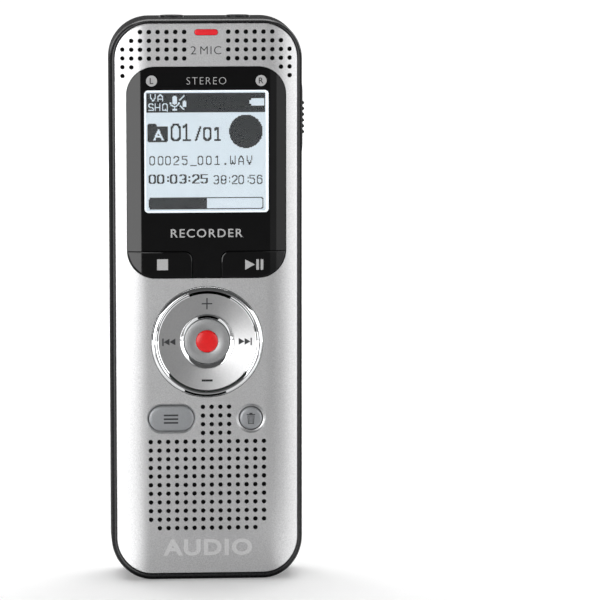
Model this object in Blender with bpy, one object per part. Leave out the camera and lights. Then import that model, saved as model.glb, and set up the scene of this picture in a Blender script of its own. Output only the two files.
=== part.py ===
"""Handheld voice recorder: a slim upright body with a crowned silver front, a glossy display window,
a round navigation pad, side power slider, two 3.5 mm sockets on top and a sliding battery door.

World frame: metres, +Z up the body, front faces -Y, +X to the right of someone looking at the front,
origin at the middle of the bottom end. All lengths below are in millimetres and scaled by MM.
"""

import math

import bmesh
import bpy
from mathutils import Vector
from mathutils.geometry import delaunay_2d_cdt

MM = 0.001

# Overall body
WIDTH = 44.0
HEIGHT = 129.25
FRONT_Y = -9.5
BACK_Y = 9.5
CORNER_R = 9.3
SEAM_Y = 3.15
GAP = 0.3

# Crowned front: flat in the middle, rolled off towards both sides
FLAT_HALF = 13.4
CROWN_R = 16.0
SKIN = 1.3
PLATE_INSET = 1.05

# Display window and the two keys cut from its lower corners
LENS_W = 36.2
LENS_Z = (70.1, 118.35)
LENS_R = 6.4
KEY_TOP = 76.25
KEY_INNER = 3.25
KEY_R = 1.9
LCD_HALF = 14.2
LCD_Z = (84.7, 113.0)

# Perforations: 1 mm holes on a 2 mm grid
HOLE_R = 0.5
PITCH = 2.0
MIC_TOP_Z = 126.3
MIC_FIRST_X = (5, 5, 5, 5, 17, 19)
MIC_LAST_X = (15, 17, 19, 19, 19, 19)
SPEAKER_TOP_Z = 32.25

# Navigation pad
NAV_Z = 55.35
NAV_TRIM_R = (11.6, 12.75)
NAV_PAD_R = (6.25, 11.4)
NAV_INNER_R = (5.3, 6.13)
RECORD_R = 5.15
RECORD_CAP_R = 2.57
PIVOT_Y = -7.2

# Small buttons
MENU_X, MENU_Z, MENU_W, MENU_H = -8.24, 37.63, 10.4, 5.8
DELETE_X, DELETE_Z, DELETE_R = 10.02, 37.55, 2.6

# Circuit board and the parts behind it
BOARD_Y = (-4.9, -3.9)
DOME_TOP = -5.4
STEM_END = -5.9
CELL_R, CELL_LEN, CELL_X, CELL_Y, CELL_Z = 5.2, 44.5, 5.6, 2.9, 9.2
DOOR_TOP = 57.0
DOOR_Y = 5.2
SOCKET_X, SOCKET_Y = 7.55, -0.6

# Power slider on the right side
SLIDER_Z, SLIDER_Y = 106.1, -1.0

COLOURS = {
    "silver": ((0.62, 0.63, 0.65), 1.0, 0.34),
    "black": ((0.018, 0.019, 0.021), 0.0, 0.42),
    "gloss": ((0.006, 0.006, 0.007), 0.0, 0.06),
    "chrome": ((0.86, 0.87, 0.89), 1.0, 0.06),
    "grey": ((0.30, 0.31, 0.33), 0.0, 0.40),
    "brushed": ((0.50, 0.51, 0.53), 1.0, 0.30),
    "red": ((0.62, 0.02, 0.03), 0.0, 0.25),
    "rubber": ((0.03, 0.03, 0.03), 0.0, 0.80),
    "steel": ((0.55, 0.55, 0.54), 1.0, 0.30),
    "board": ((0.02, 0.12, 0.05), 0.0, 0.45),
    "lcd": ((0.72, 0.77, 0.82), 0.0, 0.10),
    "white": ((0.75, 0.75, 0.73), 0.0, 0.50),
    "amber": ((0.45, 0.22, 0.05), 0.0, 0.40),
    "cell": ((0.05, 0.10, 0.20), 0.4, 0.35),
    "cone": ((0.05, 0.05, 0.05), 0.0, 0.70),
}


def clear_scene():
    for obj in list(bpy.data.objects):
        bpy.data.objects.remove(obj, do_unlink=True)


def material(name, key):
    colour, metallic, roughness = COLOURS[key]
    mat = bpy.data.materials.new(name + "_mat")
    mat.use_nodes = True
    shader = next(n for n in mat.node_tree.nodes if n.type == "BSDF_PRINCIPLED")
    shader.inputs["Base Color"].default_value = (*colour, 1.0)
    shader.inputs["Metallic"].default_value = metallic
    shader.inputs["Roughness"].default_value = roughness
    mat.diffuse_color = (*colour, 1.0)
    return mat


def solid(name, verts, faces):
    """A mesh object from points in millimetres, with its faces turned outwards."""
    mesh = bpy.data.meshes.new(name)
    mesh.from_pydata([Vector(v) * MM for v in verts], [], faces)
    bm = bmesh.new()
    bm.from_mesh(mesh)
    bmesh.ops.recalc_face_normals(bm, faces=bm.faces)
    bm.to_mesh(mesh)
    bm.free()
    obj = bpy.data.objects.new(name, mesh)
    bpy.context.scene.collection.objects.link(obj)
    return obj


def loft(name, rings):
    """Skins a stack of rings that have equal point counts and caps both ends."""
    n = len(rings[0])
    verts = [p for ring in rings for p in ring]
    faces = [tuple(range(n)), tuple(range((len(rings) - 1) * n, len(rings) * n))]
    for k in range(len(rings) - 1):
        for i in range(n):
            j = (i + 1) % n
            faces.append((k * n + i, k * n + j, (k + 1) * n + j, (k + 1) * n + i))
    return solid(name, verts, faces)


def loop_loft(name, rings):
    """Skins a closed loop of rings, the last joined to the first: a frame or a hollow ring."""
    n, m = len(rings[0]), len(rings)
    verts = [p for ring in rings for p in ring]
    faces = []
    for k in range(m):
        for i in range(n):
            a, b, j = k * n, ((k + 1) % m) * n, (i + 1) % n
            faces.append((a + i, a + j, b + j, b + i))
    return solid(name, verts, faces)


def rounded_rect(w, h, r, cx=0.0, cz=0.0, n=6):
    """Outline (x, z) of a rounded rectangle, counter-clockwise seen from the front."""
    points = []
    for sx, sz, start in ((1, 1, 0), (-1, 1, 90), (-1, -1, 180), (1, -1, 270)):
        for k in range(n + 1):
            a = math.radians(start + 90 * k / n)
            points.append((cx + sx * (w / 2 - r) + r * math.cos(a),
                           cz + sz * (h / 2 - r) + r * math.sin(a)))
    kept = []
    for p in points:
        if not kept or math.dist(p, kept[-1]) > 1e-4:
            kept.append(p)
    return kept if math.dist(kept[0], kept[-1]) > 1e-4 else kept[:-1]


def circle(r, cx=0.0, cz=0.0, n=24, turn=0.0):
    return [(cx + r * math.cos(math.tau * k / n + turn), cz + r * math.sin(math.tau * k / n + turn))
            for k in range(n)]


def along_y(outline, y):
    return [(x, y, z) for x, z in outline]


def prism(name, outline, y0, y1):
    return loft(name, [along_y(outline, y0), along_y(outline, y1)])


def box(name, x, y, z):
    return prism(name, [(x[0], z[0]), (x[1], z[0]), (x[1], z[1]), (x[0], z[1])], y[0], y[1])


def rod_z(name, r, x, y, z0, z1, n=16):
    rings = [[(x + px, y + py, z) for px, py in circle(r, n=n)] for z in (z0, z1)]
    return loft(name, rings)


def turned(name, profile, cx, cz, n=32):
    """A solid turned about a line along Y through (cx, cz). Profile points are (radius, y)."""
    verts, rings = [], []
    for r, y in profile:
        if r < 1e-6:
            rings.append([len(verts)])
            verts.append((cx, y, cz))
        else:
            rings.append(list(range(len(verts), len(verts) + n)))
            verts += [(x, y, z) for x, z in circle(r, cx, cz, n)]
    closed = profile[0][0] > 1e-6
    faces = []
    for k in range(len(rings) if closed else len(rings) - 1):
        a, b = rings[k], rings[(k + 1) % len(rings)]
        for i in range(n):
            j = (i + 1) % n
            quad = (a[i % len(a)], a[j % len(a)], b[j % len(b)], b[i % len(b)])
            face = tuple(dict.fromkeys(quad))
            if len(face) > 2:
                faces.append(face)
    return solid(name, verts, faces)


def bake(obj):
    graph = bpy.context.evaluated_depsgraph_get()
    mesh = bpy.data.meshes.new_from_object(obj.evaluated_get(graph))
    obj.modifiers.clear()
    old, obj.data = obj.data, mesh
    bpy.data.meshes.remove(old)
    mesh.name = obj.name


def combine(obj, other, operation):
    mod = obj.modifiers.new(operation.lower(), "BOOLEAN")
    mod.operation, mod.solver, mod.object = operation, "EXACT", other
    bpy.context.view_layer.update()
    bake(obj)
    bpy.data.objects.remove(other, do_unlink=True)
    return obj


def cut(obj, *others):
    for other in others:
        combine(obj, other, "DIFFERENCE")
    return obj


def join(obj, *others):
    for other in others:
        combine(obj, other, "UNION")
    return obj


def common(obj, *others):
    for other in others:
        combine(obj, other, "INTERSECT")
    return obj


def gather(name, parts):
    """One mesh object holding several separate cutter bodies."""
    bm = bmesh.new()
    for part in parts:
        bm.from_mesh(part.data)
        bpy.data.objects.remove(part, do_unlink=True)
    mesh = bpy.data.meshes.new(name)
    bm.to_mesh(mesh)
    bm.free()
    obj = bpy.data.objects.new(name, mesh)
    bpy.context.scene.collection.objects.link(obj)
    return obj


def finish(obj, key, parent=None, sharp=32.0):
    obj.data.materials.clear()
    obj.data.materials.append(material(obj.name, key))
    obj.data.polygons.foreach_set("use_smooth", [True] * len(obj.data.polygons))
    obj.data.set_sharp_from_angle(angle=math.radians(sharp))
    return obj


def set_origin(obj, x, y, z):
    shift = Vector((x, y, z)) * MM
    for vert in obj.data.vertices:
        vert.co -= shift
    obj.location = shift
    return obj


def crown(x):
    """How far the front surface has rolled back at this distance from the middle."""
    over = max(0.0, min(abs(x), 22.0) - FLAT_HALF)
    return CROWN_R - math.sqrt(CROWN_R ** 2 - over ** 2)


def crown_slab(name, off0, off1, z0, z1, half=21.9):
    """A full-width slab between two copies of the crowned front, off0 and off1 behind it."""
    steps = [FLAT_HALF + (half - FLAT_HALF) * k / 6 for k in range(7)]
    xs = [-x for x in reversed(steps)] + steps
    section = [(x, FRONT_Y + crown(x) + off0) for x in xs]
    section += [(x, FRONT_Y + crown(x) + off1) for x in reversed(xs)]
    return loft(name, [[(x, y, z) for x, y in section] for z in (z0, z1)])


def crowned(name, outline, off0, off1):
    """A panel of the given outline whose front and back follow the crowned surface."""
    zs = [z for _, z in outline]
    panel = crown_slab(name, off0, off1, min(zs) - 1, max(zs) + 1)
    return common(panel, prism("trim", outline, FRONT_Y - 5, FRONT_Y + 12))


def body_ring(inset, y=None, off=None, n=8):
    """The body outline moved in by inset, flat at y or off behind the crowned front."""
    outline = rounded_rect(WIDTH - 2 * inset, HEIGHT - 2 * inset, CORNER_R - inset,
                           0, HEIGHT / 2, n)
    return [(x, FRONT_Y + crown(x) + off if y is None else y, z) for x, z in outline]


def lens_outline(shrink=0.0):
    z0, z1 = LENS_Z
    return rounded_rect(LENS_W - 2 * shrink, z1 - z0 - 2 * shrink, LENS_R - shrink,
                        0, (z0 + z1) / 2, 6)


def key_outline(side, shrink=0.0):
    """The corner region that a key fills: its free corners rounded, the rest past the window edge."""
    x0, x1 = KEY_INNER + shrink, LENS_W / 2 + 2
    z0, z1 = LENS_Z[0] - 2, KEY_TOP - shrink
    r = KEY_R - shrink
    arc = [(x0 + r - r * math.cos(a), z1 - r + r * math.sin(a))
           for a in [math.radians(90 * k / 5) for k in range(6)]]
    points = [(x0, z0)] + arc + [(x1, z1), (x1, z0)]
    return [(side * x, z) for x, z in points]


def mic_holes():
    return [(side * x, MIC_TOP_Z - PITCH * row)
            for side in (-1, 1) for row in range(6)
            for x in range(MIC_FIRST_X[row], MIC_LAST_X[row] + 1, 2)]


def speaker_holes():
    cells = [(x, SPEAKER_TOP_Z - PITCH * row * 1.005)
             for row in range(11) for x in range(-13, 14, 2)
             if row < 10 or abs(x) < 12]
    return cells + [(x, SPEAKER_TOP_Z + PITCH * row * 1.005)
                    for row in range(1, 5) for x in (-1, 1, 3, 5)]


def pill(w, h, cx, cz, n=6):
    return rounded_rect(w, h, min(w, h) / 2, cx, cz, n)


def inside(point, loop):
    x, z = point
    hit = False
    for (ax, az), (bx, bz) in zip(loop, loop[1:] + loop[:1]):
        if (az > z) != (bz > z) and x < ax + (bx - ax) * (z - az) / (bz - az):
            hit = not hit
    return hit


def perforated(name, outline, windows, dots, off0, off1):
    """A crowned panel with windows and small six-sided dots, triangulated flat and then lifted."""
    points, edges = [], []
    for loop in [outline, *windows, *[circle(HOLE_R, x, z, 6, 0.4) for x, z in dots]]:
        first = len(points)
        points += loop
        edges += [(first + k, first + (k + 1) % len(loop)) for k in range(len(loop))]
    zs = [z for _, z in outline]
    half = max(x for x, _ in outline)
    for k in range(6):
        x = FLAT_HALF + (half - FLAT_HALF) * k / 6
        for side in (-1, 1):
            points += [(side * x, min(zs) - 1), (side * x, max(zs) + 1)]
            edges.append((len(points) - 2, len(points) - 1))
    flat, _, tris = delaunay_2d_cdt([Vector(p) for p in points], edges, [], 0, 1e-6)[:3]
    kept = []
    for tri in tris:
        c = sum((flat[i] for i in tri), Vector((0, 0))) / 3
        if any((c.x - x) ** 2 + (c.y - z) ** 2 < (0.84 * HOLE_R) ** 2 for x, z in dots):
            continue
        if inside(c, outline) and not any(inside(c, loop) for loop in windows):
            kept.append(tuple(tri))
    used = sorted({i for tri in kept for i in tri})
    index = {i: k for k, i in enumerate(used)}
    kept = [tuple(index[i] for i in tri) for tri in kept]
    n = len(used)
    verts = [(flat[i].x, FRONT_Y + crown(flat[i].x) + off, flat[i].y)
             for off in (off0, off1) for i in used]
    rims = {}
    for tri in kept:
        for a, b in zip(tri, tri[1:] + tri[:1]):
            rims[(a, b)] = rims.get((a, b), 0) + 1
    faces = kept + [tuple(n + i for i in reversed(tri)) for tri in kept]
    faces += [(b, a, n + a, n + b) for a, b in rims if (b, a) not in rims]
    return solid(name, verts, faces)


def front_parts():
    outline = rounded_rect(WIDTH - 2 * PLATE_INSET, HEIGHT - 2 * PLATE_INSET,
                           CORNER_R - PLATE_INSET, 0, HEIGHT / 2, 8)
    windows = [lens_outline(-0.2), circle(NAV_TRIM_R[1] + 0.2, 0, NAV_Z, 40), pill(5.6, 1.6, 0, 126.2, 4),
               pill(MENU_W + 0.5, MENU_H + 0.5, MENU_X, MENU_Z), circle(DELETE_R + 0.25, DELETE_X, DELETE_Z)]
    shell = perforated("front_shell", outline, windows, mic_holes() + speaker_holes(), 0, SKIN)
    cut(shell, gather("c", [
        loft("c", [along_y(pill(MENU_W + 0.3, MENU_H + 0.3, MENU_X, MENU_Z), FRONT_Y + 0.45),
                   along_y(pill(MENU_W + 1.34, MENU_H + 1.34, MENU_X, MENU_Z), FRONT_Y - 0.02)]),
        loft("c", [along_y(circle(DELETE_R + 0.2, DELETE_X, DELETE_Z), FRONT_Y + 0.5),
                   along_y(circle(DELETE_R + 0.83, DELETE_X, DELETE_Z), FRONT_Y - 0.02)])]))
    finish(shell, "silver")

    lens = crowned("display_lens", lens_outline(0.0), 0.02, SKIN)
    for side in (-1, 1):
        cut(lens, prism("c", key_outline(side, -0.12), FRONT_Y - 3, FRONT_Y + 8))
    finish(lens, "gloss")

    for side, name in ((-1, "stop_key"), (1, "play_key")):
        key = crowned(name, lens_outline(0.0), 0.04, 1.9)
        common(key, prism("t", key_outline(side, 0.12), FRONT_Y - 3, FRONT_Y + 8))
        join(key, prism("s", circle(1.2, side * 10.6, 73.1, 12), -8.2, STEM_END))
        set_origin(finish(key, "gloss"), side * 10.6, FRONT_Y, 73.1)


def frame_parts():
    inner_z = (SLIDER_Z - 8.1, SLIDER_Z + 8.1)
    rings = [body_ring(0, y=SEAM_Y), body_ring(0, off=2.1), body_ring(0.08, off=1.5),
             body_ring(0.28, off=0.95), body_ring(0.55, off=0.6), body_ring(0.8, off=0.45),
             body_ring(0.8, off=SKIN + GAP), body_ring(2.3, off=SKIN + GAP), body_ring(2.3, y=SEAM_Y)]
    frame = loop_loft("mid_frame", rings)
    for side in (-1, 1):
        cut(frame, rod_z("c", 3.2, side * SOCKET_X, SOCKET_Y, HEIGHT - 4, HEIGHT + 3, 20))
    cut(frame, box("c", (-24, -18), (-3.75, -0.75), (91.0, 99.0)))
    cut(frame, box("c", (-24, -18), (-3.7, -1.8), (69.4, 81.6)))
    pocket = [[(x, SLIDER_Y + py, SLIDER_Z + pz) for py, pz in pill(5.5, 16.2, 0, 0, 6)]
              for x in (21.3, 24)]
    cut(frame, loft("c", pocket))
    cut(frame, box("c", (18, 24), (SLIDER_Y - 1.35, SLIDER_Y + 1.35), (100.6, 111.6)))
    finish(frame, "black")

    bezel_rings = [[(x, SLIDER_Y + py, SLIDER_Z + pz) for py, pz in pill(w, h, 0, 0, 6)]
                   for x, w, h in ((21.45, 5.2, 15.85), (22.05, 5.2, 15.85), (22.2, 4.9, 15.55))]
    bezel = loft("slider_bezel", bezel_rings)
    finish(cut(bezel, box("c", (21, 24), (SLIDER_Y - 1.75, SLIDER_Y + 1.75), (99.7, 112.5))), "black")

    knob = box("power_slider", (20.0, 22.45), (SLIDER_Y - 1.05, SLIDER_Y + 1.05), (103.0, 109.2))
    join(knob, box("c", (21.7, 22.3), (SLIDER_Y - 1.6, SLIDER_Y + 1.6), (102.1, 110.1)))
    for k in range(6):
        z = 102.1 + 0.67 + 1.332 * k
        rib = [[(22.1, y, z - 0.5), (22.66, y, z - 0.22), (22.66, y, z + 0.22), (22.1, y, z + 0.5)]
               for y in (SLIDER_Y - 1.6, SLIDER_Y + 1.6)]
        join(knob, loft("c", rib))
    set_origin(finish(knob, "black"), 22.0, SLIDER_Y, SLIDER_Z)
    finish(box("switch_body", (14.5, 19.2), (-3.6, 1.2), (101.0, 111.2)), "steel")

    for side, name in ((-1, "mic"), (1, "phones")):
        x = side * SOCKET_X
        collar = rod_z("collar_" + name, 2.95, x, SOCKET_Y, 126.6, HEIGHT + 0.2, 24)
        finish(cut(collar, rod_z("c", 1.8, x, SOCKET_Y, 120, 135, 16)), "black")
        body = box("socket_" + name, (x - 3.1, x + 3.1), (-3.6, 2.4), (112.5, 126.3))
        finish(cut(body, rod_z("c", 1.8, x, SOCKET_Y, 114, 130, 16)), "black")
    usb = box("usb_port", (-21.5, -16.0), (-3.6, -0.9), (91.2, 98.8))
    finish(cut(usb, box("c", (-23, -17.0), (-3.2, -1.3), (91.8, 98.2))), "steel")
    slot = box("card_slot", (-20.8, -6.0), (-3.6, -1.9), (69.6, 81.4))
    finish(cut(slot, box("c", (-23, -7.0), (-3.2, -2.3), (70.0, 81.0))), "steel")


def rear_parts():
    outer = [(0, SEAM_Y + GAP), (0, 4.3), (0.25, 5.5), (0.9, 7.0), (1.9, 8.2), (3.3, 9.05), (4.8, 9.4),
             (6.2, BACK_Y)]
    inner = [(1.5, SEAM_Y + GAP - 0.5), (1.5, 4.3), (1.7, 5.3), (2.2, 6.4), (3.1, 7.3), (4.3, 7.9),
             (5.3, 8.1), (6.2, 8.2)]
    shell = loft("rear_shell", [body_ring(d, y=y, n=6) for d, y in outer])
    cut(shell, loft("c", [body_ring(d, y=y, n=6) for d, y in inner]))
    door = loft("battery_door", [body_ring(d, y=y, n=6) for d, y in outer])
    cut(door, loft("c", [body_ring(d, y=y, n=6) for d, y in inner]))
    common(door, box("c", (-30, 30), (DOOR_Y, 12), (-5, DOOR_TOP)))
    for k in range(5):
        cut(door, prism("c", pill(14 - 1.6 * k, 0.7, 0, 50 - 1.7 * k, 4), BACK_Y - 0.35, BACK_Y + 1))
    set_origin(finish(door, "black", sharp=40), 0, BACK_Y, DOOR_TOP / 2)

    deck = rounded_rect(WIDTH - 2.0, HEIGHT - 2.0, CORNER_R - 1.0, 0, HEIGHT / 2, 6)
    join(shell, common(prism("d", deck, SEAM_Y + GAP, 4.65),
                       box("c", (-30, 30), (0, 10), (-5, 60.2))))
    join(shell, box("b", (-12.8, 12.8), (-3.5, 8.6), (2.7, 60.2)))
    cut(shell, box("c", (-11.5, 11.5), (-2.6, 14), (3.9, DOOR_TOP + 0.4)))
    cut(shell, box("c", (-30, 30), (DOOR_Y - GAP, 14), (-5, DOOR_TOP + 0.3)))
    for side in (-1, 1):
        x = side * 14.5
        cut(shell, turned("c", [(0, BACK_Y + 0.5), (1.85, BACK_Y + 0.5), (1.85, 8.75), (1.0, 8.75),
                                (1.0, 4), (0, 4)], x, 118.5, 20))
        screw = turned("back_screw_" + ("left" if side < 0 else "right"),
                       [(0, 9.35), (0.9, 9.3), (1.5, 9.05), (1.5, 8.85), (0.8, 8.85), (0.8, 4.2), (0, 4.0)],
                       x, 118.5, 16)
        finish(screw, "steel")
    finish(shell, "black", sharp=40)


def cells_and_springs():
    for side, name in ((-1, "left"), (1, "right")):
        x = side * CELL_X
        z0, z1 = CELL_Z, CELL_Z + CELL_LEN
        up = side < 0
        profile = [(0, z0), (4.0, z0), (CELL_R, z0 + 0.5), (CELL_R, z1 - 1.5), (4.4, z1 - 0.9),
                   (1.9, z1 - 0.9), (1.9, z1), (0, z1)]
        if not up:
            profile = [(r, z0 + z1 - z) for r, z in reversed(profile)]
        cell = turned("cell_" + name, profile, 0, 0, 24)
        for vert in cell.data.vertices:
            cx, cy, cz = vert.co / MM
            vert.co = Vector((x + cx, CELL_Y + cz, cy)) * MM
        cell.data.flip_normals()
        finish(cell, "cell")
        low = (4.75, z0 - 0.15) if up else (z1 + 0.15, 56.6)
        spring = coil("spring_" + name, x, CELL_Y, low[0] + 0.3, low[1] - 0.35, 0.28,
                      (3.3, 2.3) if up else (2.3, 3.3))
        finish(spring, "steel")
    finish(box("contact_plate_bottom", (-10.6, 10.6), (-1.9, 4.4), (4.1, 4.45)), "steel")
    for side, name in ((-1, "left"), (1, "right")):
        x = side * CELL_X
        finish(box("contact_plate_" + name, (x - 4.6, x + 4.6), (-1.9, 4.4), (56.85, 57.2)), "steel")


def coil(name, cx, cy, z0, z1, wire, radii, turns=3.5, steps=10, sides=5):
    count = int(turns * steps)
    rings = []
    for k in range(count + 1):
        t = k / count
        a = math.tau * turns * t
        r = radii[0] + (radii[1] - radii[0]) * t
        z = z0 + (z1 - z0) * t
        out = (math.cos(a), math.sin(a))
        rings.append([(cx + out[0] * (r + wire * math.cos(b)), cy + out[1] * (r + wire * math.cos(b)),
                       z + wire * math.sin(b)) for b in [math.tau * s / sides for s in range(sides)]])
    return loft(name, rings)


def button_parts():
    a, b = NAV_TRIM_R
    top = FRONT_Y - 0.4
    finish(turned("nav_outer_ring", [(a, -8.0), (a, top + 0.3), (a + 0.2, top + 0.07), (a + 0.55, top),
                                     (b - 0.2, top + 0.12), (b, top + 0.45), (b, -8.0)],
                  0, NAV_Z, 40), "chrome")
    a, b = NAV_PAD_R
    pad = turned("nav_pad", [(a, -7.6), (a, FRONT_Y - 0.12), (a + 0.25, FRONT_Y - 0.25),
                             (b - 0.3, FRONT_Y - 0.25), (b, FRONT_Y), (b, -8.4), (a + 0.8, -8.4),
                             (a + 0.8, -7.6)], 0, NAV_Z, 40)
    for side in (-1, 1):
        join(pad, prism("s", circle(0.8, side * 9.0, NAV_Z, 10), -8.6, -5.85))
    set_origin(finish(pad, "brushed"), 0, PIVOT_Y, NAV_Z)
    rocker = turned("nav_rocker", [(a + 1.3, -7.55), (a + 1.3, -6.85), (b - 0.5, -6.85), (b - 0.5, -7.55)],
                    0, NAV_Z, 32)
    for side in (-1, 1):
        join(rocker, prism("s", circle(0.8, 0, NAV_Z + side * 9.0, 10), -7.2, -5.85))
        cut(rocker, prism("c", circle(1.3, side * 9.0, NAV_Z, 12), -9, -5))
    set_origin(finish(rocker, "grey"), 0, PIVOT_Y, NAV_Z)
    a, b = NAV_INNER_R
    top = FRONT_Y - 0.62
    finish(turned("nav_inner_ring", [(a, -8.3), (a, top + 0.25), (a + 0.15, top + 0.05), (a + 0.4, top),
                                     (b - 0.12, top + 0.14), (b, top + 0.4), (b, -8.3)],
                  0, NAV_Z, 32), "chrome")
    r = RECORD_R
    face = FRONT_Y - 0.5
    button = turned("record_button", [(0, face + 0.4), (2.68, face + 0.4), (2.68, face + 0.02),
                                      (2.9, face), (r - 0.35, face + 0.1), (r, face + 0.4), (r, -7.9),
                                      (1.5, -7.9), (1.5, STEM_END), (0, STEM_END)], 0, NAV_Z, 32)
    set_origin(finish(button, "brushed"), 0, FRONT_Y, NAV_Z)
    finish(turned("record_cap", [(0, face - 0.1), (1.6, face - 0.08), (2.45, face + 0.03),
                                 (RECORD_CAP_R, face + 0.12), (RECORD_CAP_R, face + 0.36),
                                 (0, face + 0.36)], 0, NAV_Z, 24), "red")

    rings = [along_y(pill(MENU_W - 0.7, MENU_H - 0.7, MENU_X, MENU_Z, 6), FRONT_Y - 0.1),
             along_y(pill(MENU_W - 0.2, MENU_H - 0.2, MENU_X, MENU_Z, 6), FRONT_Y + 0.05),
             along_y(pill(MENU_W, MENU_H, MENU_X, MENU_Z, 6), FRONT_Y + 0.35),
             along_y(pill(MENU_W, MENU_H, MENU_X, MENU_Z, 6), -7.6)]
    menu = join(loft("menu_button", rings), prism("s", circle(1.2, MENU_X, MENU_Z, 12), -8, STEM_END))
    set_origin(finish(menu, "grey"), MENU_X, FRONT_Y, MENU_Z)
    r = DELETE_R
    delete = turned("delete_button", [(0, FRONT_Y - 0.12), (r - 0.55, FRONT_Y - 0.08), (r - 0.15, FRONT_Y + 0.05),
                                      (r, FRONT_Y + 0.35), (r, -7.6), (1.2, -7.6), (1.2, STEM_END),
                                      (0, STEM_END)], DELETE_X, DELETE_Z, 24)
    set_origin(finish(delete, "grey"), DELETE_X, FRONT_Y, DELETE_Z)
    mat = prism("button_mat", rounded_rect(29.0, 7.6, 2.0, 0, 37.6, 4), -6.95, -6.6)
    for x, z in ((MENU_X, MENU_Z), (DELETE_X, DELETE_Z)):
        cut(mat, prism("c", circle(1.6, x, z, 12), -8, -5))
    finish(mat, "rubber")

    spots = {"up": (0, NAV_Z + 9), "down": (0, NAV_Z - 9), "left": (-9, NAV_Z), "right": (9, NAV_Z),
             "record": (0, NAV_Z), "menu": (MENU_X, MENU_Z), "delete": (DELETE_X, DELETE_Z),
             "stop": (-10.6, 73.1), "play": (10.6, 73.1)}
    for name, (x, z) in spots.items():
        finish(turned("dome_" + name, [(0, DOME_TOP), (1.0, DOME_TOP + 0.08), (1.9, BOARD_Y[0] - 0.1),
                                       (1.9, BOARD_Y[0] - 0.03), (0, BOARD_Y[0] - 0.03)], x, z, 12), "steel")


def inner_parts():
    finish(prism("main_board", rounded_rect(36.6, 121.0, 7.0, 0, 65.0, 5), *BOARD_Y), "board")
    finish(box("processor", (-13.0, -4.0), (-3.8, -2.8), (100.5, 109.5)), "black")
    finish(box("flash_memory", (-2.0, 10.0), (-3.8, -2.8), (84.0, 102.0)), "black")
    finish(box("lcd_glass", (-15.4, 15.4), (-7.95, -6.35), (81.2, 114.3)), "lcd")
    finish(box("lcd_backlight", (-15.2, 15.2), (-6.2, -5.2), (82.2, 114.0)), "white")
    flex = [(80.9, -6.5), (79.6, -6.3), (78.8, -5.75), (78.6, -5.05)]
    back = [(80.9, -6.62), (79.55, -6.42), (78.68, -5.82), (78.46, -5.05)]
    section = flex + back[::-1]
    finish(loft("lcd_flex", [[(x, y, z) for z, y in section] for x in (-7, 7)]), "amber")
    finish(prism("led_window", pill(5.3, 1.3, 0, 126.2, 4), FRONT_Y - 0.05, -5.6), "red")

    cz = 22.0
    finish(turned("speaker_frame", [(10.0, -7.75), (10.0, -6.7), (5.6, -5.9), (5.6, -6.2), (8.6, -6.85),
                                    (8.6, -7.75)], 0, cz, 32), "steel")
    finish(turned("speaker_cone", [(0, -7.3), (2.6, -7.05), (3.0, -6.75), (6.9, -7.5), (8.3, -7.6),
                                   (8.3, -7.45), (6.9, -7.35), (3.0, -6.6), (0, -6.6)], 0, cz, 28), "cone")
    finish(turned("speaker_magnet", [(0, -6.35), (5.0, -6.35), (5.0, -5.1), (0, -5.1)], 0, cz, 24), "steel")
    grille = [(-14, 11.2), (14, 11.2), (14, 33.3), (6, 33.3), (6, 41.4), (-2, 41.4), (-2, 33.3), (-14, 33.3)]
    finish(crowned("speaker_mesh", grille, SKIN + 0.08, SKIN + 0.22), "cone")
    for side, name in ((-1, "left"), (1, "right")):
        corner = [(4.2, 119.4), (16.2, 119.4), (16.2, 115.6), (19.4, 115.6), (19.4, 122.9), (17.6, 125.6),
                  (15.9, 127.0), (4.2, 127.0)]
        finish(crowned("mic_mesh_" + name, [(side * x, z) for x, z in corner], SKIN + 0.08, SKIN + 0.22),
               "cone")
        x, z = side * 9.0, 123.0
        finish(turned("mic_" + name, [(0, -7.7), (3.0, -7.7), (3.0, -5.2), (0, -5.2)], x, z, 20), "steel")
        finish(turned("mic_boot_" + name, [(3.15, -7.8), (3.15, -6.0), (3.75, -6.0), (3.75, -7.8)], x, z, 20),
               "rubber")


clear_scene()
front_parts()
frame_parts()
rear_parts()
cells_and_springs()
button_parts()
inner_parts()
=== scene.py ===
"""Looks for the handheld voice recorder: finer meshes, printed signs, the lit display and materials.

Lengths are millimetres scaled by MM. The front faces -Y and the recorder stands on its bottom end.
"""

import math

import bmesh
import bpy
from mathutils import Matrix, Vector
from mathutils.geometry import delaunay_2d_cdt


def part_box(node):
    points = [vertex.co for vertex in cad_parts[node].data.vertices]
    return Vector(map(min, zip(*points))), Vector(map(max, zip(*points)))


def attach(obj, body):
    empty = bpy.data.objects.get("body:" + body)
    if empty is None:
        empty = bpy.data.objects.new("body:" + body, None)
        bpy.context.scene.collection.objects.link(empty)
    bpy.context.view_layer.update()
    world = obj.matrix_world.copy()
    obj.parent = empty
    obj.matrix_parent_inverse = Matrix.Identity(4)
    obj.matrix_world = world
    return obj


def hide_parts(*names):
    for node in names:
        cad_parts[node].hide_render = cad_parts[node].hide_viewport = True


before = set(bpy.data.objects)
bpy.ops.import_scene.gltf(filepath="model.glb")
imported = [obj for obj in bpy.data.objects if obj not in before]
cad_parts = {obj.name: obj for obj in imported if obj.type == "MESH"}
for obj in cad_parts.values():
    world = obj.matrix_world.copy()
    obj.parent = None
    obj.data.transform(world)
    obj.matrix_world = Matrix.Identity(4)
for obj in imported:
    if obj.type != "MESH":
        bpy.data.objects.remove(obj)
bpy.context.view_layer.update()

MM = 0.001


def box_mm(node):
    lo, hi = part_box(node)
    return [c / MM for c in lo], [c / MM for c in hi]


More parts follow.
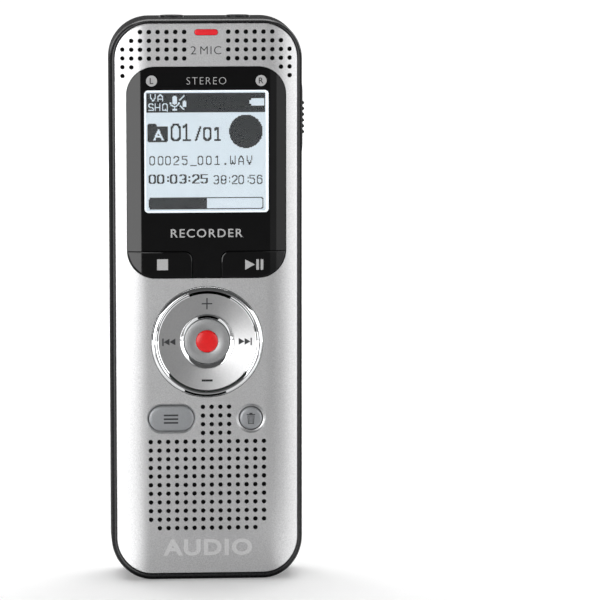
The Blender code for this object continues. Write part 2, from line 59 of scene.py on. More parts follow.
# Body, read from the frame
SHELL_LO, SHELL_HI = box_mm("mid_frame")
WIDTH, HEIGHT = SHELL_HI[0] - SHELL_LO[0], SHELL_HI[2] - SHELL_LO[2]
FRONT = box_mm("front_shell")[0][1]
BACK = box_mm("rear_shell")[1][1]
CORNER = 9.3
FLAT = 13.4
CROWN_R = 16.0
SKIN = 1.3
NAV = [(a + b) / 2 for a, b in zip(*box_mm("nav_outer_ring"))]
MENU = [(a + b) / 2 for a, b in zip(*box_mm("menu_button"))]
DELETE = [(a + b) / 2 for a, b in zip(*box_mm("delete_button"))]
LED = [(a + b) / 2 for a, b in zip(*box_mm("led_window"))]
LENS_W, LENS_H, LENS_Z, LENS_R = 36.2, 48.25, 70.1, 6.4
KEY_INNER, KEY_TOP, KEY_R = 3.25, 76.25, 1.9
HOLE_R = 0.54
DOTS = 128
LCD_SIDE = 27.0
LCD_X, LCD_Z = 0.0, 98.85
DOTS_X = -0.12


# ---- meshes

def crown(x):
    over = max(0.0, min(abs(x), 22.0) - FLAT)
    return CROWN_R - math.sqrt(CROWN_R ** 2 - over ** 2)


def front_at(x, z):
    """The y of the crowned front surface."""
    return FRONT + crown(x)


def placed(name, data):
    obj = bpy.data.objects.new(name, data)
    bpy.context.scene.collection.objects.link(obj)
    return obj


def baked(obj):
    """The object's mesh as evaluated, modifiers and curves worked out."""
    bpy.context.view_layer.update()
    graph = bpy.context.evaluated_depsgraph_get()
    return bpy.data.meshes.new_from_object(obj.evaluated_get(graph))


def piece(name, verts, faces, mats, ride, sharp=30.0, fix=True, smooth=True):
    mesh = bpy.data.meshes.new(name)
    mesh.from_pydata([Vector(v) * MM for v in verts], [], faces)
    if fix:
        bm = bmesh.new()
        bm.from_mesh(mesh)
        bmesh.ops.recalc_face_normals(bm, faces=bm.faces)
        bm.to_mesh(mesh)
        bm.free()
    mesh.polygons.foreach_set("use_smooth", [smooth] * len(mesh.polygons))
    if smooth:
        mesh.set_sharp_from_angle(angle=math.radians(sharp))
    for m in mats if isinstance(mats, (list, tuple)) else [mats]:
        mesh.materials.append(m)
    obj = placed(name, mesh)
    if ride:
        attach(obj, ride)
    return obj


def skin(name, data, mat, ride, node, sharp=30.0):
    """A piece that is shown instead of a CAD node, which it hides."""
    obj = piece(name, *data, mat, ride, sharp=sharp)
    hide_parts(node)
    return obj


def solid(name, data):
    """A mesh on no body yet: a cutter, or a shape that is still to be carved."""
    return piece(name, *data, [], None, smooth=False)


def carve(obj, operation, *tools):
    for tool in tools:
        mod = obj.modifiers.new("m", "BOOLEAN")
        mod.operation, mod.solver, mod.object = operation, "EXACT", tool
        mesh = baked(obj)
        obj.modifiers.clear()
        old, obj.data = obj.data, mesh
        bpy.data.meshes.remove(old)
        bpy.data.objects.remove(tool, do_unlink=True)
    return obj


def finish_solid(obj, mat, ride, node, sharp=35.0):
    obj.data.materials.clear()
    obj.data.materials.append(mat)
    obj.data.polygons.foreach_set("use_smooth", [True] * len(obj.data.polygons))
    obj.data.polygons.foreach_set("material_index", [0] * len(obj.data.polygons))
    obj.data.set_sharp_from_angle(angle=math.radians(sharp))
    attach(obj, ride)
    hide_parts(node)
    return obj


def block(x, y, z):
    outline = [(x[0], z[0]), (x[1], z[0]), (x[1], z[1]), (x[0], z[1])]
    return solid("c", loft_data([flat_ring(outline, v) for v in y]))


def rod_z(r, x, y, z0, z1, n=40):
    return solid("c", loft_data([[(x + px, y + py, z) for px, py in circle(r, n=n)] for z in (z0, z1)]))


def loft_data(rings, caps=True, loop=False):
    n, m = len(rings[0]), len(rings)
    verts = [p for ring in rings for p in ring]
    faces = [tuple(range(n)), tuple(range((m - 1) * n, m * n))] if caps and not loop else []
    for k in range(m if loop else m - 1):
        for i in range(n):
            a, b, j = k * n, ((k + 1) % m) * n, (i + 1) % n
            faces.append((a + i, a + j, b + j, b + i))
    return verts, faces


def rounded_rect(w, h, r, cx=0.0, cz=0.0, n=12):
    points = []
    for sx, sz, start in ((1, 1, 0), (-1, 1, 90), (-1, -1, 180), (1, -1, 270)):
        for k in range(n + 1):
            a = math.radians(start + 90 * k / n)
            p = (cx + sx * (w / 2 - r) + r * math.cos(a), cz + sz * (h / 2 - r) + r * math.sin(a))
            if not points or math.dist(p, points[-1]) > 1e-4:
                points.append(p)
    return points if math.dist(points[0], points[-1]) > 1e-4 else points[:-1]


def pill(w, h, cx, cz, n=12):
    return rounded_rect(w, h, min(w, h) / 2, cx, cz, n)


def circle(r, cx=0.0, cz=0.0, n=48, turn=0.0):
    return [(cx + r * math.cos(math.tau * k / n + turn), cz + r * math.sin(math.tau * k / n + turn))
            for k in range(n)]


def flat_ring(outline, y):
    return [(x, y, z) for x, z in outline]


def on_front(outline, off):
    return [(x, front_at(x, z) + off, z) for x, z in outline]


def turned_data(profile, cx, cz, n=96):
    verts, rings = [], []
    for r, y in profile:
        if r < 1e-6:
            rings.append([len(verts)])
            verts.append((cx, y, cz))
        else:
            rings.append(list(range(len(verts), len(verts) + n)))
            verts += [(x, y, z) for x, z in circle(r, cx, cz, n)]
    closed = profile[0][0] > 1e-6
    faces = []
    for k in range(len(rings) if closed else len(rings) - 1):
        a, b = rings[k], rings[(k + 1) % len(rings)]
        for i in range(n):
            j = (i + 1) % n
            face = tuple(dict.fromkeys((a[i % len(a)], a[j % len(a)], b[j % len(b)], b[i % len(b)])))
            if len(face) > 2:
                faces.append(face)
    return verts, faces


def upright_data(profile, x, y, n):
    """A shape turned about an upright axis at (x, y), from (radius, height) pairs."""
    verts, faces = turned_data(profile, 0, 0, n)
    return [(x + a, y + c, b) for a, b, c in verts], faces


def inside(point, loop):
    x, z = point
    hit = False
    for (ax, az), (bx, bz) in zip(loop, loop[1:] + loop[:1]):
        if (az > z) != (bz > z) and x < ax + (bx - ax) * (z - az) / (bz - az):
            hit = not hit
    return hit


def panel_data(outline, off0, off1, windows=(), dots=(), folds=14):
    """A panel that follows the crowned front, with windows and round dots cut through it."""
    points, edges = [], []
    for loop in [outline, *windows, *[circle(HOLE_R, x, z, 16, 0.1) for x, z in dots]]:
        first = len(points)
        points += loop
        edges += [(first + k, first + (k + 1) % len(loop)) for k in range(len(loop))]
    zs = [z for _, z in outline]
    half = max(abs(x) for x, _ in outline)
    for k in range(folds):
        x = FLAT + (half - FLAT) * k / folds + 0.003
        if x < half:
            for side in (-1, 1):
                points += [(side * x, min(zs) - 1), (side * x, max(zs) + 1)]
                edges.append((len(points) - 2, len(points) - 1))
    flat, _, tris = delaunay_2d_cdt([Vector(p) for p in points], edges, [], 0, 1e-6)[:3]
    near = {}
    for x, z in dots:
        near.setdefault((round(x / 2), round(z / 2)), []).append((x, z))
    kept = []
    for tri in tris:
        c = sum((flat[i] for i in tri), Vector((0, 0))) / 3
        i, j = round(c.x / 2), round(c.y / 2)
        close = [d for a in (-1, 0, 1) for b in (-1, 0, 1) for d in near.get((i + a, j + b), ())]
        if any((c.x - x) ** 2 + (c.y - z) ** 2 < (0.93 * HOLE_R) ** 2 for x, z in close):
            continue
        if inside(c, outline) and not any(inside(c, loop) for loop in windows):
            kept.append(tuple(tri))
    used = sorted({i for tri in kept for i in tri})
    index = {i: k for k, i in enumerate(used)}
    kept = [tuple(index[i] for i in tri) for tri in kept]
    n = len(used)
    verts = [(flat[i].x, front_at(flat[i].x, flat[i].y) + off, flat[i].y) for off in (off0, off1) for i in used]
    rims = {(a, b) for tri in kept for a, b in zip(tri, tri[1:] + tri[:1])}
    faces = kept + [tuple(n + i for i in reversed(tri)) for tri in kept]
    faces += [(b, a, n + a, n + b) for a, b in sorted(rims) if (b, a) not in rims]
    return verts, faces


def walls_painted_shade(obj, front_faces):
    """Gives a panel's cut walls and back, all faces after its front ones, the second material, a near-black painted
    shade.
    """
    count = len(obj.data.polygons)
    obj.data.polygons.foreach_set("material_index", [int(k >= front_faces) for k in range(count)])


# ---- flat signs

def text_2d(words, height, cx, cz, tracking=1.0, weight=0.0, width=None):
    """Letters as flat triangles in (x, z), height being that of the whole line."""
    curve = bpy.data.curves.new("t", "FONT")
    curve.body = words
    curve.space_character = tracking
    curve.offset = weight
    curve.resolution_u = 4
    obj = placed("t", curve)
    mesh = baked(obj)
    mesh.calc_loop_triangles()
    pts = [(v.co.x, v.co.y) for v in mesh.vertices]
    tris = [tuple(t.vertices) for t in mesh.loop_triangles]
    bpy.data.objects.remove(obj, do_unlink=True)
    bpy.data.curves.remove(curve)
    bpy.data.meshes.remove(mesh)
    x0, x1 = min(p[0] for p in pts), max(p[0] for p in pts)
    y0, y1 = min(p[1] for p in pts), max(p[1] for p in pts)
    s = height / (y1 - y0)
    sx = s if width is None else width / (x1 - x0)
    return [(cx + (x - (x0 + x1) / 2) * sx, cz + (y - (y0 + y1) / 2) * s) for x, y in pts], tris


def poly_2d(points):
    return list(points), [(0, k, k + 1) for k in range(1, len(points) - 1)]


def rect_2d(x0, x1, z0, z1):
    return poly_2d([(x0, z0), (x1, z0), (x1, z1), (x0, z1)])


def join_2d(*shapes):
    points, tris = [], []
    for p, t in shapes:
        base = len(points)
        points += p
        tris += [tuple(base + i for i in tri) for tri in t]
    return points, tris


def bar_2d(a, b, width):
    d = (Vector(b) - Vector(a)).normalized() * width / 2
    n = Vector((-d.y, d.x))
    a, b = Vector(a), Vector(b)
    return poly_2d([tuple(a - n), tuple(b - n), tuple(b + n), tuple(a + n)])


def ring_2d(r0, r1, cx, cz, a0=0.0, a1=360.0, n=48):
    pts = []
    for k in range(n + 1):
        a = math.radians(a0 + (a1 - a0) * k / n)
        pts += [(cx + r0 * math.cos(a), cz + r0 * math.sin(a)), (cx + r1 * math.cos(a), cz + r1 * math.sin(a))]
    tris = []
    for k in range(n):
        b = 2 * k
        tris += [(b, b + 1, b + 3), (b, b + 3, b + 2)]
    return pts, tris


def sign(name, shape, surf, mat, ride, lift=0.014):
    """A thin print that lies just proud of a surface given by surf(x, z)."""
    points, tris = shape
    verts = [(x, surf(x, z) - lift, z) for x, z in points]
    faces = []
    for a, b, c in tris:
        (ax, az), (bx, bz), (cx, cz) = points[a], points[b], points[c]
        if (bx - ax) * (cz - az) - (bz - az) * (cx - ax) < 0:
            b, c = c, b
        faces.append((a, b, c))
    return piece(name, verts, faces, mat, ride, fix=False, smooth=False)


# ---- materials

def add(nodes, kind, **values):
    """A new shader node with its inputs set; an underscore in a key stands for a space."""
    node = nodes.new("ShaderNode" + kind)
    for key, value in values.items():
        node.inputs[key.replace("_", " ")].default_value = value
    return node


def wire(source, output, target, into):
    source.id_data.links.new(source.outputs[output], target.inputs[into])


def principled(mat):
    return mat.node_tree.nodes["Principled BSDF"]


SOCKETS_OF = {"specular_ior_level": "Specular IOR Level", "ior": "IOR", "transmission_weight": "Transmission Weight"}


def material(name, colour, metallic, roughness, spread, scale, bump,
        rough_spread=0.08, depth=0.00003, detail=4.0, **settings):
    """A Principled material whose colour, roughness and surface vary with fine noise."""
    mat = bpy.data.materials.new(name)
    mat.use_nodes = True
    nodes = mat.node_tree.nodes
    shader = principled(mat)
    coords = add(nodes, "TexCoord")
    noise = add(nodes, "TexNoise", Scale=scale, Detail=detail)
    wire(coords, "Object", noise, "Vector")
    ramp = add(nodes, "ValToRGB")
    for stop, place, sign_of in zip(ramp.color_ramp.elements, (0.3, 0.7), (-1, 1)):
        stop.position = place
        stop.color = (*[min(1.0, max(0.0, c * (1 + sign_of * spread))) for c in colour], 1)
    wire(noise, "Fac", ramp, "Fac")
    wire(ramp, "Color", shader, "Base Color")
    rough = add(nodes, "MapRange", To_Min=max(0.0, roughness - rough_spread / 2),
            To_Max=min(1.0, roughness + rough_spread / 2))
    wire(noise, "Fac", rough, "Value")
    wire(rough, "Result", shader, "Roughness")
    if bump:
        dent = add(nodes, "Bump", Strength=bump, Distance=depth)
        wire(noise, "Fac", dent, "Height")
        wire(dent, "Normal", shader, "Normal")
    shader.inputs["Metallic"].default_value = metallic
    for key, value in settings.items():
        shader.inputs[SOCKETS_OF.get(key, key.title())].default_value = value
    mat.diffuse_color = (*colour, 1)
    return mat


def glowing(mat, colour, strength):
    shader = principled(mat)
    shader.inputs["Emission Color"].default_value = (*colour, 1)
    shader.inputs["Emission Strength"].default_value = strength
    return mat


# name, colour, metallic, roughness, spread of the colour, scale of the noise, bump
SILVER = material("silver_paint", (0.68, 0.68, 0.685), 0.85, 0.39, 0.16, 5200, 0.25,
        rough_spread=0.14, depth=0.00002, detail=2.0)
BLACK_GLOSS = material("black_gloss", (0.003, 0.003, 0.0033), 0.0, 0.05, 0.2, 400, 0.0, rough_spread=0.03)
KEY_GLOSS = material("key_gloss", (0.003, 0.003, 0.0033), 0.0, 0.07, 0.2, 400, 0.0, rough_spread=0.03)
SATIN_BLACK = material("satin_black", (0.010, 0.010, 0.011), 0.0, 0.28, 0.12, 2600, 0.06)
GLOSS_TRIM = material("gloss_trim", (0.008, 0.008, 0.009), 0.0, 0.16, 0.15, 900, 0.0)
TEXTURED_BLACK = material("textured_black", (0.016, 0.016, 0.017), 0.0, 0.42, 0.15, 2200,
        0.35, depth=0.00008, detail=2.0)
# Near-black painted shade for the plate's cut walls and back, so the holes read dark.
HOLE_PAINTED_SHADE = material("hole_painted_shade", (0.006, 0.006, 0.006), 0.0, 0.8, 0.3, 3000, 0.0)
CHROME = material("chrome", (0.90, 0.91, 0.92), 1.0, 0.05, 0.02, 700, 0.0, rough_spread=0.03)
PRINT_BLACK = material("black_print", (0.012, 0.012, 0.013), 0.0, 0.5, 0.1, 4000, 0.1)
PRINT_DARK = material("dark_print", (0.032, 0.033, 0.036), 0.0, 0.5, 0.1, 4000, 0.1)
PRINT_SILVER = material("silver_print", (0.50, 0.50, 0.50), 0.0, 0.45, 0.08, 4000, 0.1)
GREY_BUTTON = material("grey_button", (0.36, 0.37, 0.385), 0.4, 0.38, 0.06, 3600, 0.12, depth=0.00002)
RED_GLOSS = material("red_gloss", (0.84, 0.018, 0.020), 0.0, 0.22, 0.05, 1500, 0.02)
RED_LENS = glowing(material("red_lens", (0.80, 0.02, 0.03), 0.0, 0.25, 0.05, 900, 0.0), (1.0, 0.02, 0.03), 0.12)
CLOTH = material("acoustic_cloth", (0.012, 0.012, 0.012), 0.0, 0.9, 0.4, 7000, 0.6, depth=0.00008)
STEEL = material("plated_steel", (0.56, 0.55, 0.52), 1.0, 0.28, 0.08, 1500, 0.1)
DARK_STEEL = material("dark_steel", (0.10, 0.10, 0.105), 1.0, 0.35, 0.15, 1500, 0.1)
GOLD = material("contact_gold", (0.78, 0.56, 0.22), 1.0, 0.25, 0.06, 1500, 0.05)
BOARD = material("board_green", (0.012, 0.085, 0.035), 0.0, 0.35, 0.2, 700, 0.1)
CHIP = material("chip_epoxy", (0.016, 0.016, 0.017), 0.0, 0.55, 0.2, 3000, 0.3)
RUBBER = material("rubber", (0.025, 0.025, 0.026), 0.0, 0.75, 0.2, 1800, 0.2)
FLEX = material("flex_amber", (0.42, 0.18, 0.03), 0.0, 0.35, 0.1, 900, 0.05)
LIGHT_GUIDE = material("light_guide", (0.72, 0.74, 0.74), 0.0, 0.4, 0.05, 900, 0.05)
CELL_SLEEVE = material("cell_sleeve", (0.035, 0.05, 0.08), 0.3, 0.3, 0.15, 500, 0.03)
LCD_BACK = glowing(material("lcd_back", (0.30, 0.34, 0.37), 0.0, 0.5, 0.03, 1200, 0.0), (0.80, 0.90, 0.96), 0.60)
LCD_EDGE = glowing(material("lcd_edge", (0.50, 0.55, 0.58), 0.0, 0.5, 0.02, 1200, 0.0), (0.95, 0.98, 1.0), 0.85)
LCD_ON = material("lcd_on", (0.016, 0.020, 0.023), 0.0, 0.5, 0.15, 3000, 0.0, specular_ior_level=0.1)
GLASS = material("window_clear", (0.96, 0.97, 0.98), 0.0, 0.03, 0.01, 300, 0.0,
        rough_spread=0.01, transmission_weight=1.0, ior=1.45)


def ringed_metal(name, colour, roughness, strength, spread, count=420.0):
    """Metal brushed in fine circles about the piece's own middle."""
    mat = material(name, colour, 1.0, roughness, spread, 2500, 0.0, anisotropic=0.5)
    nodes = mat.node_tree.nodes
    shader = principled(mat)
    coords = add(nodes, "TexCoord")
    place = add(nodes, "Mapping", Location=(-NAV[0] * MM, 0, -NAV[2] * MM))
    wire(coords, "Object", place, "Vector")
    wave = add(nodes, "TexWave", Scale=count, Distortion=3.0, Detail=3.0, Detail_Scale=2.0)
    wave.wave_type, wave.rings_direction = "RINGS", "Y"
    wire(place, "Vector", wave, "Vector")
    dent = add(nodes, "Bump", Strength=strength, Distance=0.00001)
    wire(wave, "Fac", dent, "Height")
    wire(dent, "Normal", shader, "Normal")
    tangent = add(nodes, "Tangent")
    tangent.direction_type, tangent.axis = "RADIAL", "Y"
    wire(tangent, "Tangent", shader, "Tangent")
    return mat


PAD_METAL = ringed_metal("pad_metal", (0.68, 0.68, 0.685), 0.30, strength=0.04, spread=0.04)
BUTTON_METAL = material("button_metal", (0.45, 0.455, 0.46), 0.8, 0.42, 0.08, 5200, 0.2, depth=0.00002)


# ---- front plate

def mic_dots():
    top = 126.3
    first, last = (5, 5, 5, 5, 17, 19), (15, 17, 19, 19, 19, 19)
    return [(side * x, top - 2.0 * row) for side in (-1, 1) for row in range(6)
            for x in range(first[row], last[row] + 1, 2)]


def speaker_dots():
    top, step = 32.25, 2.01
    dots = [(x, top - step * row) for row in range(11) for x in range(-13, 14, 2) if row < 10 or abs(x) < 12]
    return dots + [(x, top + step * row) for row in range(1, 5) for x in (-1, 1, 3, 5)]


def lens_outline(grow=0.0, n=14):
    return rounded_rect(LENS_W + 2 * grow, LENS_H + 2 * grow, LENS_R + grow, 0, LENS_Z + LENS_H / 2, n)


MENU_SIZE, MENU_DISH = (10.4, 5.8), (11.5, 6.9)
DELETE_R, DELETE_DISH = 2.6, 3.4
KEY_FOOT, STEM_FOOT = -7.6, -5.9  # the y where a button's skirt and its stem end
PLATE_SIDE, PLATE_TOP, PLATE_LOW, PLATE_R = 1.2, 1.05, 1.6, 8.1


def plate_outline(grow=0.0, n=20):
    """The silver plate's edge; its bottom margin is wider than the others."""
    w, z0, z1 = WIDTH - 2 * PLATE_SIDE, PLATE_LOW, HEIGHT - PLATE_TOP
    return rounded_rect(w + 2 * grow, z1 - z0 + 2 * grow, PLATE_R + grow, 0, (z0 + z1) / 2, n)


def front_plate():
    windows = [lens_outline(0.12), circle(12.86, 0, NAV[2], 96), pill(5.45, 1.45, 0, LED[2], 8),
            pill(*MENU_DISH, MENU[0], MENU[2], 14), circle(DELETE_DISH, DELETE[0], DELETE[2], 56)]
    verts, faces = panel_data(plate_outline(-0.12), 0.04, SKIN, windows, mic_dots() + speaker_dots())
    plate = skin("front_plate", (verts, faces), [SILVER, HOLE_PAINTED_SHADE], "body", "front_shell")
    front = next(k for k, f in enumerate(faces) if min(f) >= len(verts) // 2)
    # The cut walls and back get the near-black painted shade.
    walls_painted_shade(plate, front)
    edge = [on_front(plate_outline(-d), off)
            for d, off in ((0.0, 0.9), (0.0, 0.18), (0.02, 0.10), (0.06, 0.06), (0.121, 0.04), (0.3, 0.3), (0.3, 0.9))]
    piece("plate_edge", *loft_data(edge, loop=True), SILVER, "body", sharp=60)


def dishes():
    """The sunken rims round the menu and delete buttons."""
    menu = [on_front(pill(MENU_DISH[0] - 2 * d, MENU_DISH[1] - 2 * d, MENU[0], MENU[2], 14), off) for d, off in (
        (0.0, 0.04), (0.06, 0.09), (0.16, 0.20), (0.30, 0.34), (0.44, 0.44), (0.46, 1.25))]
    delete = [on_front(circle(DELETE_DISH - d, DELETE[0], DELETE[2], 56), off) for d, off in (
        (0.0, 0.04), (0.06, 0.09), (0.18, 0.22), (0.36, 0.36), (0.58, 0.44), (0.62, 1.25))]
    for name, rings in (("menu_dish", menu), ("delete_dish", delete)):
        piece(name, *loft_data(rings, caps=False), SILVER, "body", sharp=60)


def plate_signs():
    surf = lambda x, z: front_at(x, z) + 0.04
    mic = join_2d(text_2d("2", 1.84, -2.92, 122.12, weight=-0.008, width=1.3),
            text_2d("MIC", 1.84, 1.02, 122.12, tracking=1.14, weight=-0.008, width=4.75))
    sign("mic_sign", mic, surf, PRINT_DARK, "body")
    maker = text_2d("AUDIO", 3.9, 0, 7.6, tracking=1.12, weight=0.035, width=20.5)
    sign("maker_sign", maker, surf, PALE_PRINT, "body")


PALE_PRINT = material("pale_print", (0.80, 0.80, 0.80), 0.6, 0.42, 0.08, 4000, 0.1)


def light_pipe():
    rings = [flat_ring(pill(5.3 - 2 * d, 1.3 - 2 * d, 0, LED[2], 8), FRONT + y)
            for d, y in ((0.0, 1.4), (0.0, 0.08), (0.05, 0.0), (0.14, -0.05), (0.3, -0.07))]
    skin("led_bar", loft_data(rings), RED_LENS, "body", "led_window", 50)


# ---- display window

LCD_OPEN, OPEN_H, OPEN_Z = 28.3, 27.95, 99.08


def display_window():
    opening = rounded_rect(LCD_OPEN, OPEN_H, 0.9, LCD_X, OPEN_Z, 6)
    skin("window_panel", panel_data(key_cut_outline(), 0.0, SKIN, [opening]), BLACK_GLOSS, "body", "display_lens")
    pane = rounded_rect(LCD_OPEN - 0.02, OPEN_H - 0.02, 0.89, LCD_X, OPEN_Z, 6)
    piece("window_pane", *panel_data(pane, 0.0, 0.5, folds=4), GLASS, "body")


def key_side(side, shrink):
    """Outline of one key: follows the window's corner outside, rounded upper inner corner."""
    w, h, r = LENS_W / 2 - 0.03, LENS_Z + 0.03, LENS_R
    x_in, top, rc = KEY_INNER + shrink, KEY_TOP - shrink, KEY_R
    pts = [(x_in, h)]
    for k in range(9):
        a = math.radians(90 * k / 8)
        pts.append((x_in + rc - rc * math.cos(a), top - rc + rc * math.sin(a)))
    edge_x = lambda z: (w - r) + math.sqrt(max(0.0, r * r - (h + r - z) ** 2)) if z < h + r else w
    pts.append((edge_x(top), top))
    z_low = math.asin(min(1.0, (h + r - top) / r))
    for k in range(1, 17):
        a = z_low + (math.pi / 2 - z_low) * k / 16
        pts.append((w - r + r * math.cos(a), h + r - r * math.sin(a)))
    return [(side * x, z) for x, z in pts]


def key_cut_outline():
    """The window's outline with both key corners taken away, seen from the front, anticlockwise."""
    w, h0, h1, r = LENS_W / 2, LENS_Z, LENS_Z + LENS_H, LENS_R
    x_in, top, rc = KEY_INNER - 0.06, KEY_TOP + 0.06, KEY_R
    half = []
    for k in range(15):
        a = math.radians(90 - 90 * k / 14)
        half.append((w - r + r * math.cos(a), h1 - r + r * math.sin(a)))
    half.append(((w - r) + math.sqrt(r * r - (h0 + r - top) ** 2), top))
    for k in range(9):
        a = math.radians(90 - 90 * k / 8)
        half.append((x_in + rc - rc * math.cos(a), top - rc + rc * math.sin(a)))
    half.append((x_in, h0))
    return half + [(-x, z) for x, z in reversed(half)]


def keys():
    for side, name, node in ((-1, "stop_key_skin", "stop_key"), (1, "play_key_skin", "play_key")):
        rings = []
        base = [Vector(p) for p in key_side(side, 0.06)]
        for d, off in ((0.0, 1.9), (0.0, 0.22), (0.04, 0.12), (0.12, 0.05), (0.3, 0.03)):
            ring = inset_loop(base, d)
            rings.append([(p.x, front_at(p.x, p.y) + off, p.y) for p in ring])
        verts, faces = loft_data(rings, caps=False)
        cap_v, cap_f = panel_data([tuple(p) for p in inset_loop(base, 0.3)], 0.03, 1.0)
        n = len(verts)
        verts += cap_v
        faces += [tuple(n + i for i in f) for f in cap_f]
        skin(name, (verts, faces), KEY_GLOSS, node.split("_")[0], node, 50)
    surf = lambda x, z: front_at(x, z) + 0.03
    sign("stop_sign", rect_2d(-11.38, -8.87, 71.95, 74.47), surf, PRINT_SILVER, "stop")
    play = join_2d(poly_2d([(8.75, 71.9), (10.95, 73.1), (8.75, 74.3)]), rect_2d(11.3, 11.9, 71.9, 74.3),
            rect_2d(12.3, 12.9, 71.9, 74.3))
    sign("play_sign", play, surf, PRINT_SILVER, "play")


def inset_loop(loop, d):
    """Moves a closed loop inwards by d along the averaged edge normals."""
    n = len(loop)
    area = sum(loop[i].x * loop[(i + 1) % n].y - loop[(i + 1) % n].x * loop[i].y for i in range(n))
    turn = 1 if area > 0 else -1
    out = []
    for i in range(n):
        a = (loop[i] - loop[i - 1]).normalized()
        b = (loop[(i + 1) % n] - loop[i]).normalized()
        na, nb = Vector((-a.y, a.x)) * turn, Vector((-b.y, b.x)) * turn
        m = na + nb
        m = m.normalized() if m.length > 1e-6 else na
        out.append(loop[i] + m * d / max(0.5, m.dot(na)))
    return out


def window_signs():
    z = 115.2
    stereo = text_2d("STEREO", 1.62, 0, z, tracking=1.2, weight=-0.018, width=9.0)
    sign("stereo_sign", stereo, front_at, PRINT_SILVER, "body")
    kind = text_2d("RECORDER", 1.95, 0, 80.4, tracking=1.2, weight=0.01, width=16.4)
    sign("type_sign", kind, front_at, PRINT_SILVER, "body")
    for x, letter in ((-12.45, "L"), (12.45, "R")):
        sign("badge_" + letter, poly_2d(circle(1.25, x, z, 36)), front_at, PRINT_SILVER, "body")
        shape = text_2d(letter, 1.35, x, z, weight=0.012)
        sign("badge_letter_" + letter, shape, front_at, PRINT_BLACK, "body", lift=0.028)


# ---- lit display

class Dots:
    """A square grid of display dots that flat shapes are stamped into."""

    def __init__(self):
        self.on = [[False] * DOTS for _ in range(DOTS)]
        self.pitch = LCD_SIDE / DOTS
        self.x0, self.z1 = DOTS_X - LCD_SIDE / 2, LCD_Z + 0.27 + LCD_SIDE / 2

    def stamp(self, shape, value=True):
        points, tris = shape
        cells = [((x - self.x0) / self.pitch - 0.5, (self.z1 - z) / self.pitch - 0.5) for x, z in points]
        for tri in tris:
            (ax, ay), (bx, by), (cx, cy) = (cells[i] for i in tri)
            area = (bx - ax) * (cy - ay) - (by - ay) * (cx - ax)
            if abs(area) < 1e-9:
                continue
            for j in range(max(0, math.ceil(min(ay, by, cy))), min(DOTS - 1, math.floor(max(ay, by, cy))) + 1):
                for i in range(max(0, math.ceil(min(ax, bx, cx))), min(DOTS - 1, math.floor(max(ax, bx, cx))) + 1):
                    u = ((bx - ax) * (j - ay) - (by - ay) * (i - ax)) / area
                    v = ((cx - bx) * (j - by) - (cy - by) * (i - bx)) / area
                    w = ((ax - cx) * (j - cy) - (ay - cy) * (i - cx)) / area
                    if u >= -1e-6 and v >= -1e-6 and w >= -1e-6:
                        self.on[j][i] = value

    def write(self, words, x, z, w, h, step, pen=1, value=True, colon=5, deep=1):
        """Writes dot letters w by h dots in size, their lower left corner at (x, z) and step dots apart."""
        at, j0 = (x - self.x0) / self.pitch, (self.z1 - z) / self.pitch
        for letter in words:
            strokes = [[]]
            for p in GLYPHS[letter]:
                strokes.append([]) if p is None else strokes[-1].append(p)
            left = round(at + (colon - pen) / 2 if letter == ":" else at)
            at += colon if letter == ":" else step
            for stroke in strokes:
                for (ax, ay), (bx, by) in zip(stroke, stroke[1:]):
                    for t in range(41):
                        u = left + (ax + (bx - ax) * t / 40) * (w - pen) / 4
                        v = j0 - 1 - (ay + (by - ay) * t / 40) * (h - deep) / 8
                        for k in range(pen * deep):
                            i, j = round(u) + k % pen, round(v) - k // pen
                            if 0 <= i < DOTS and 0 <= j < DOTS:
                                self.on[j][i] = value

    def mesh(self):
        verts, faces = [], []
        h = self.pitch / 2
        for j, row in enumerate(self.on):
            for i, lit in enumerate(row):
                if lit:
                    x, z = self.x0 + (i + 0.5) * self.pitch, self.z1 - (j + 0.5) * self.pitch
                    b = len(verts)
                    verts += [(x - h, 0, z - h), (x + h, 0, z - h), (x + h, 0, z + h), (x - h, 0, z + h)]
                    faces.append((b, b + 1, b + 2, b + 3))
        return verts, faces


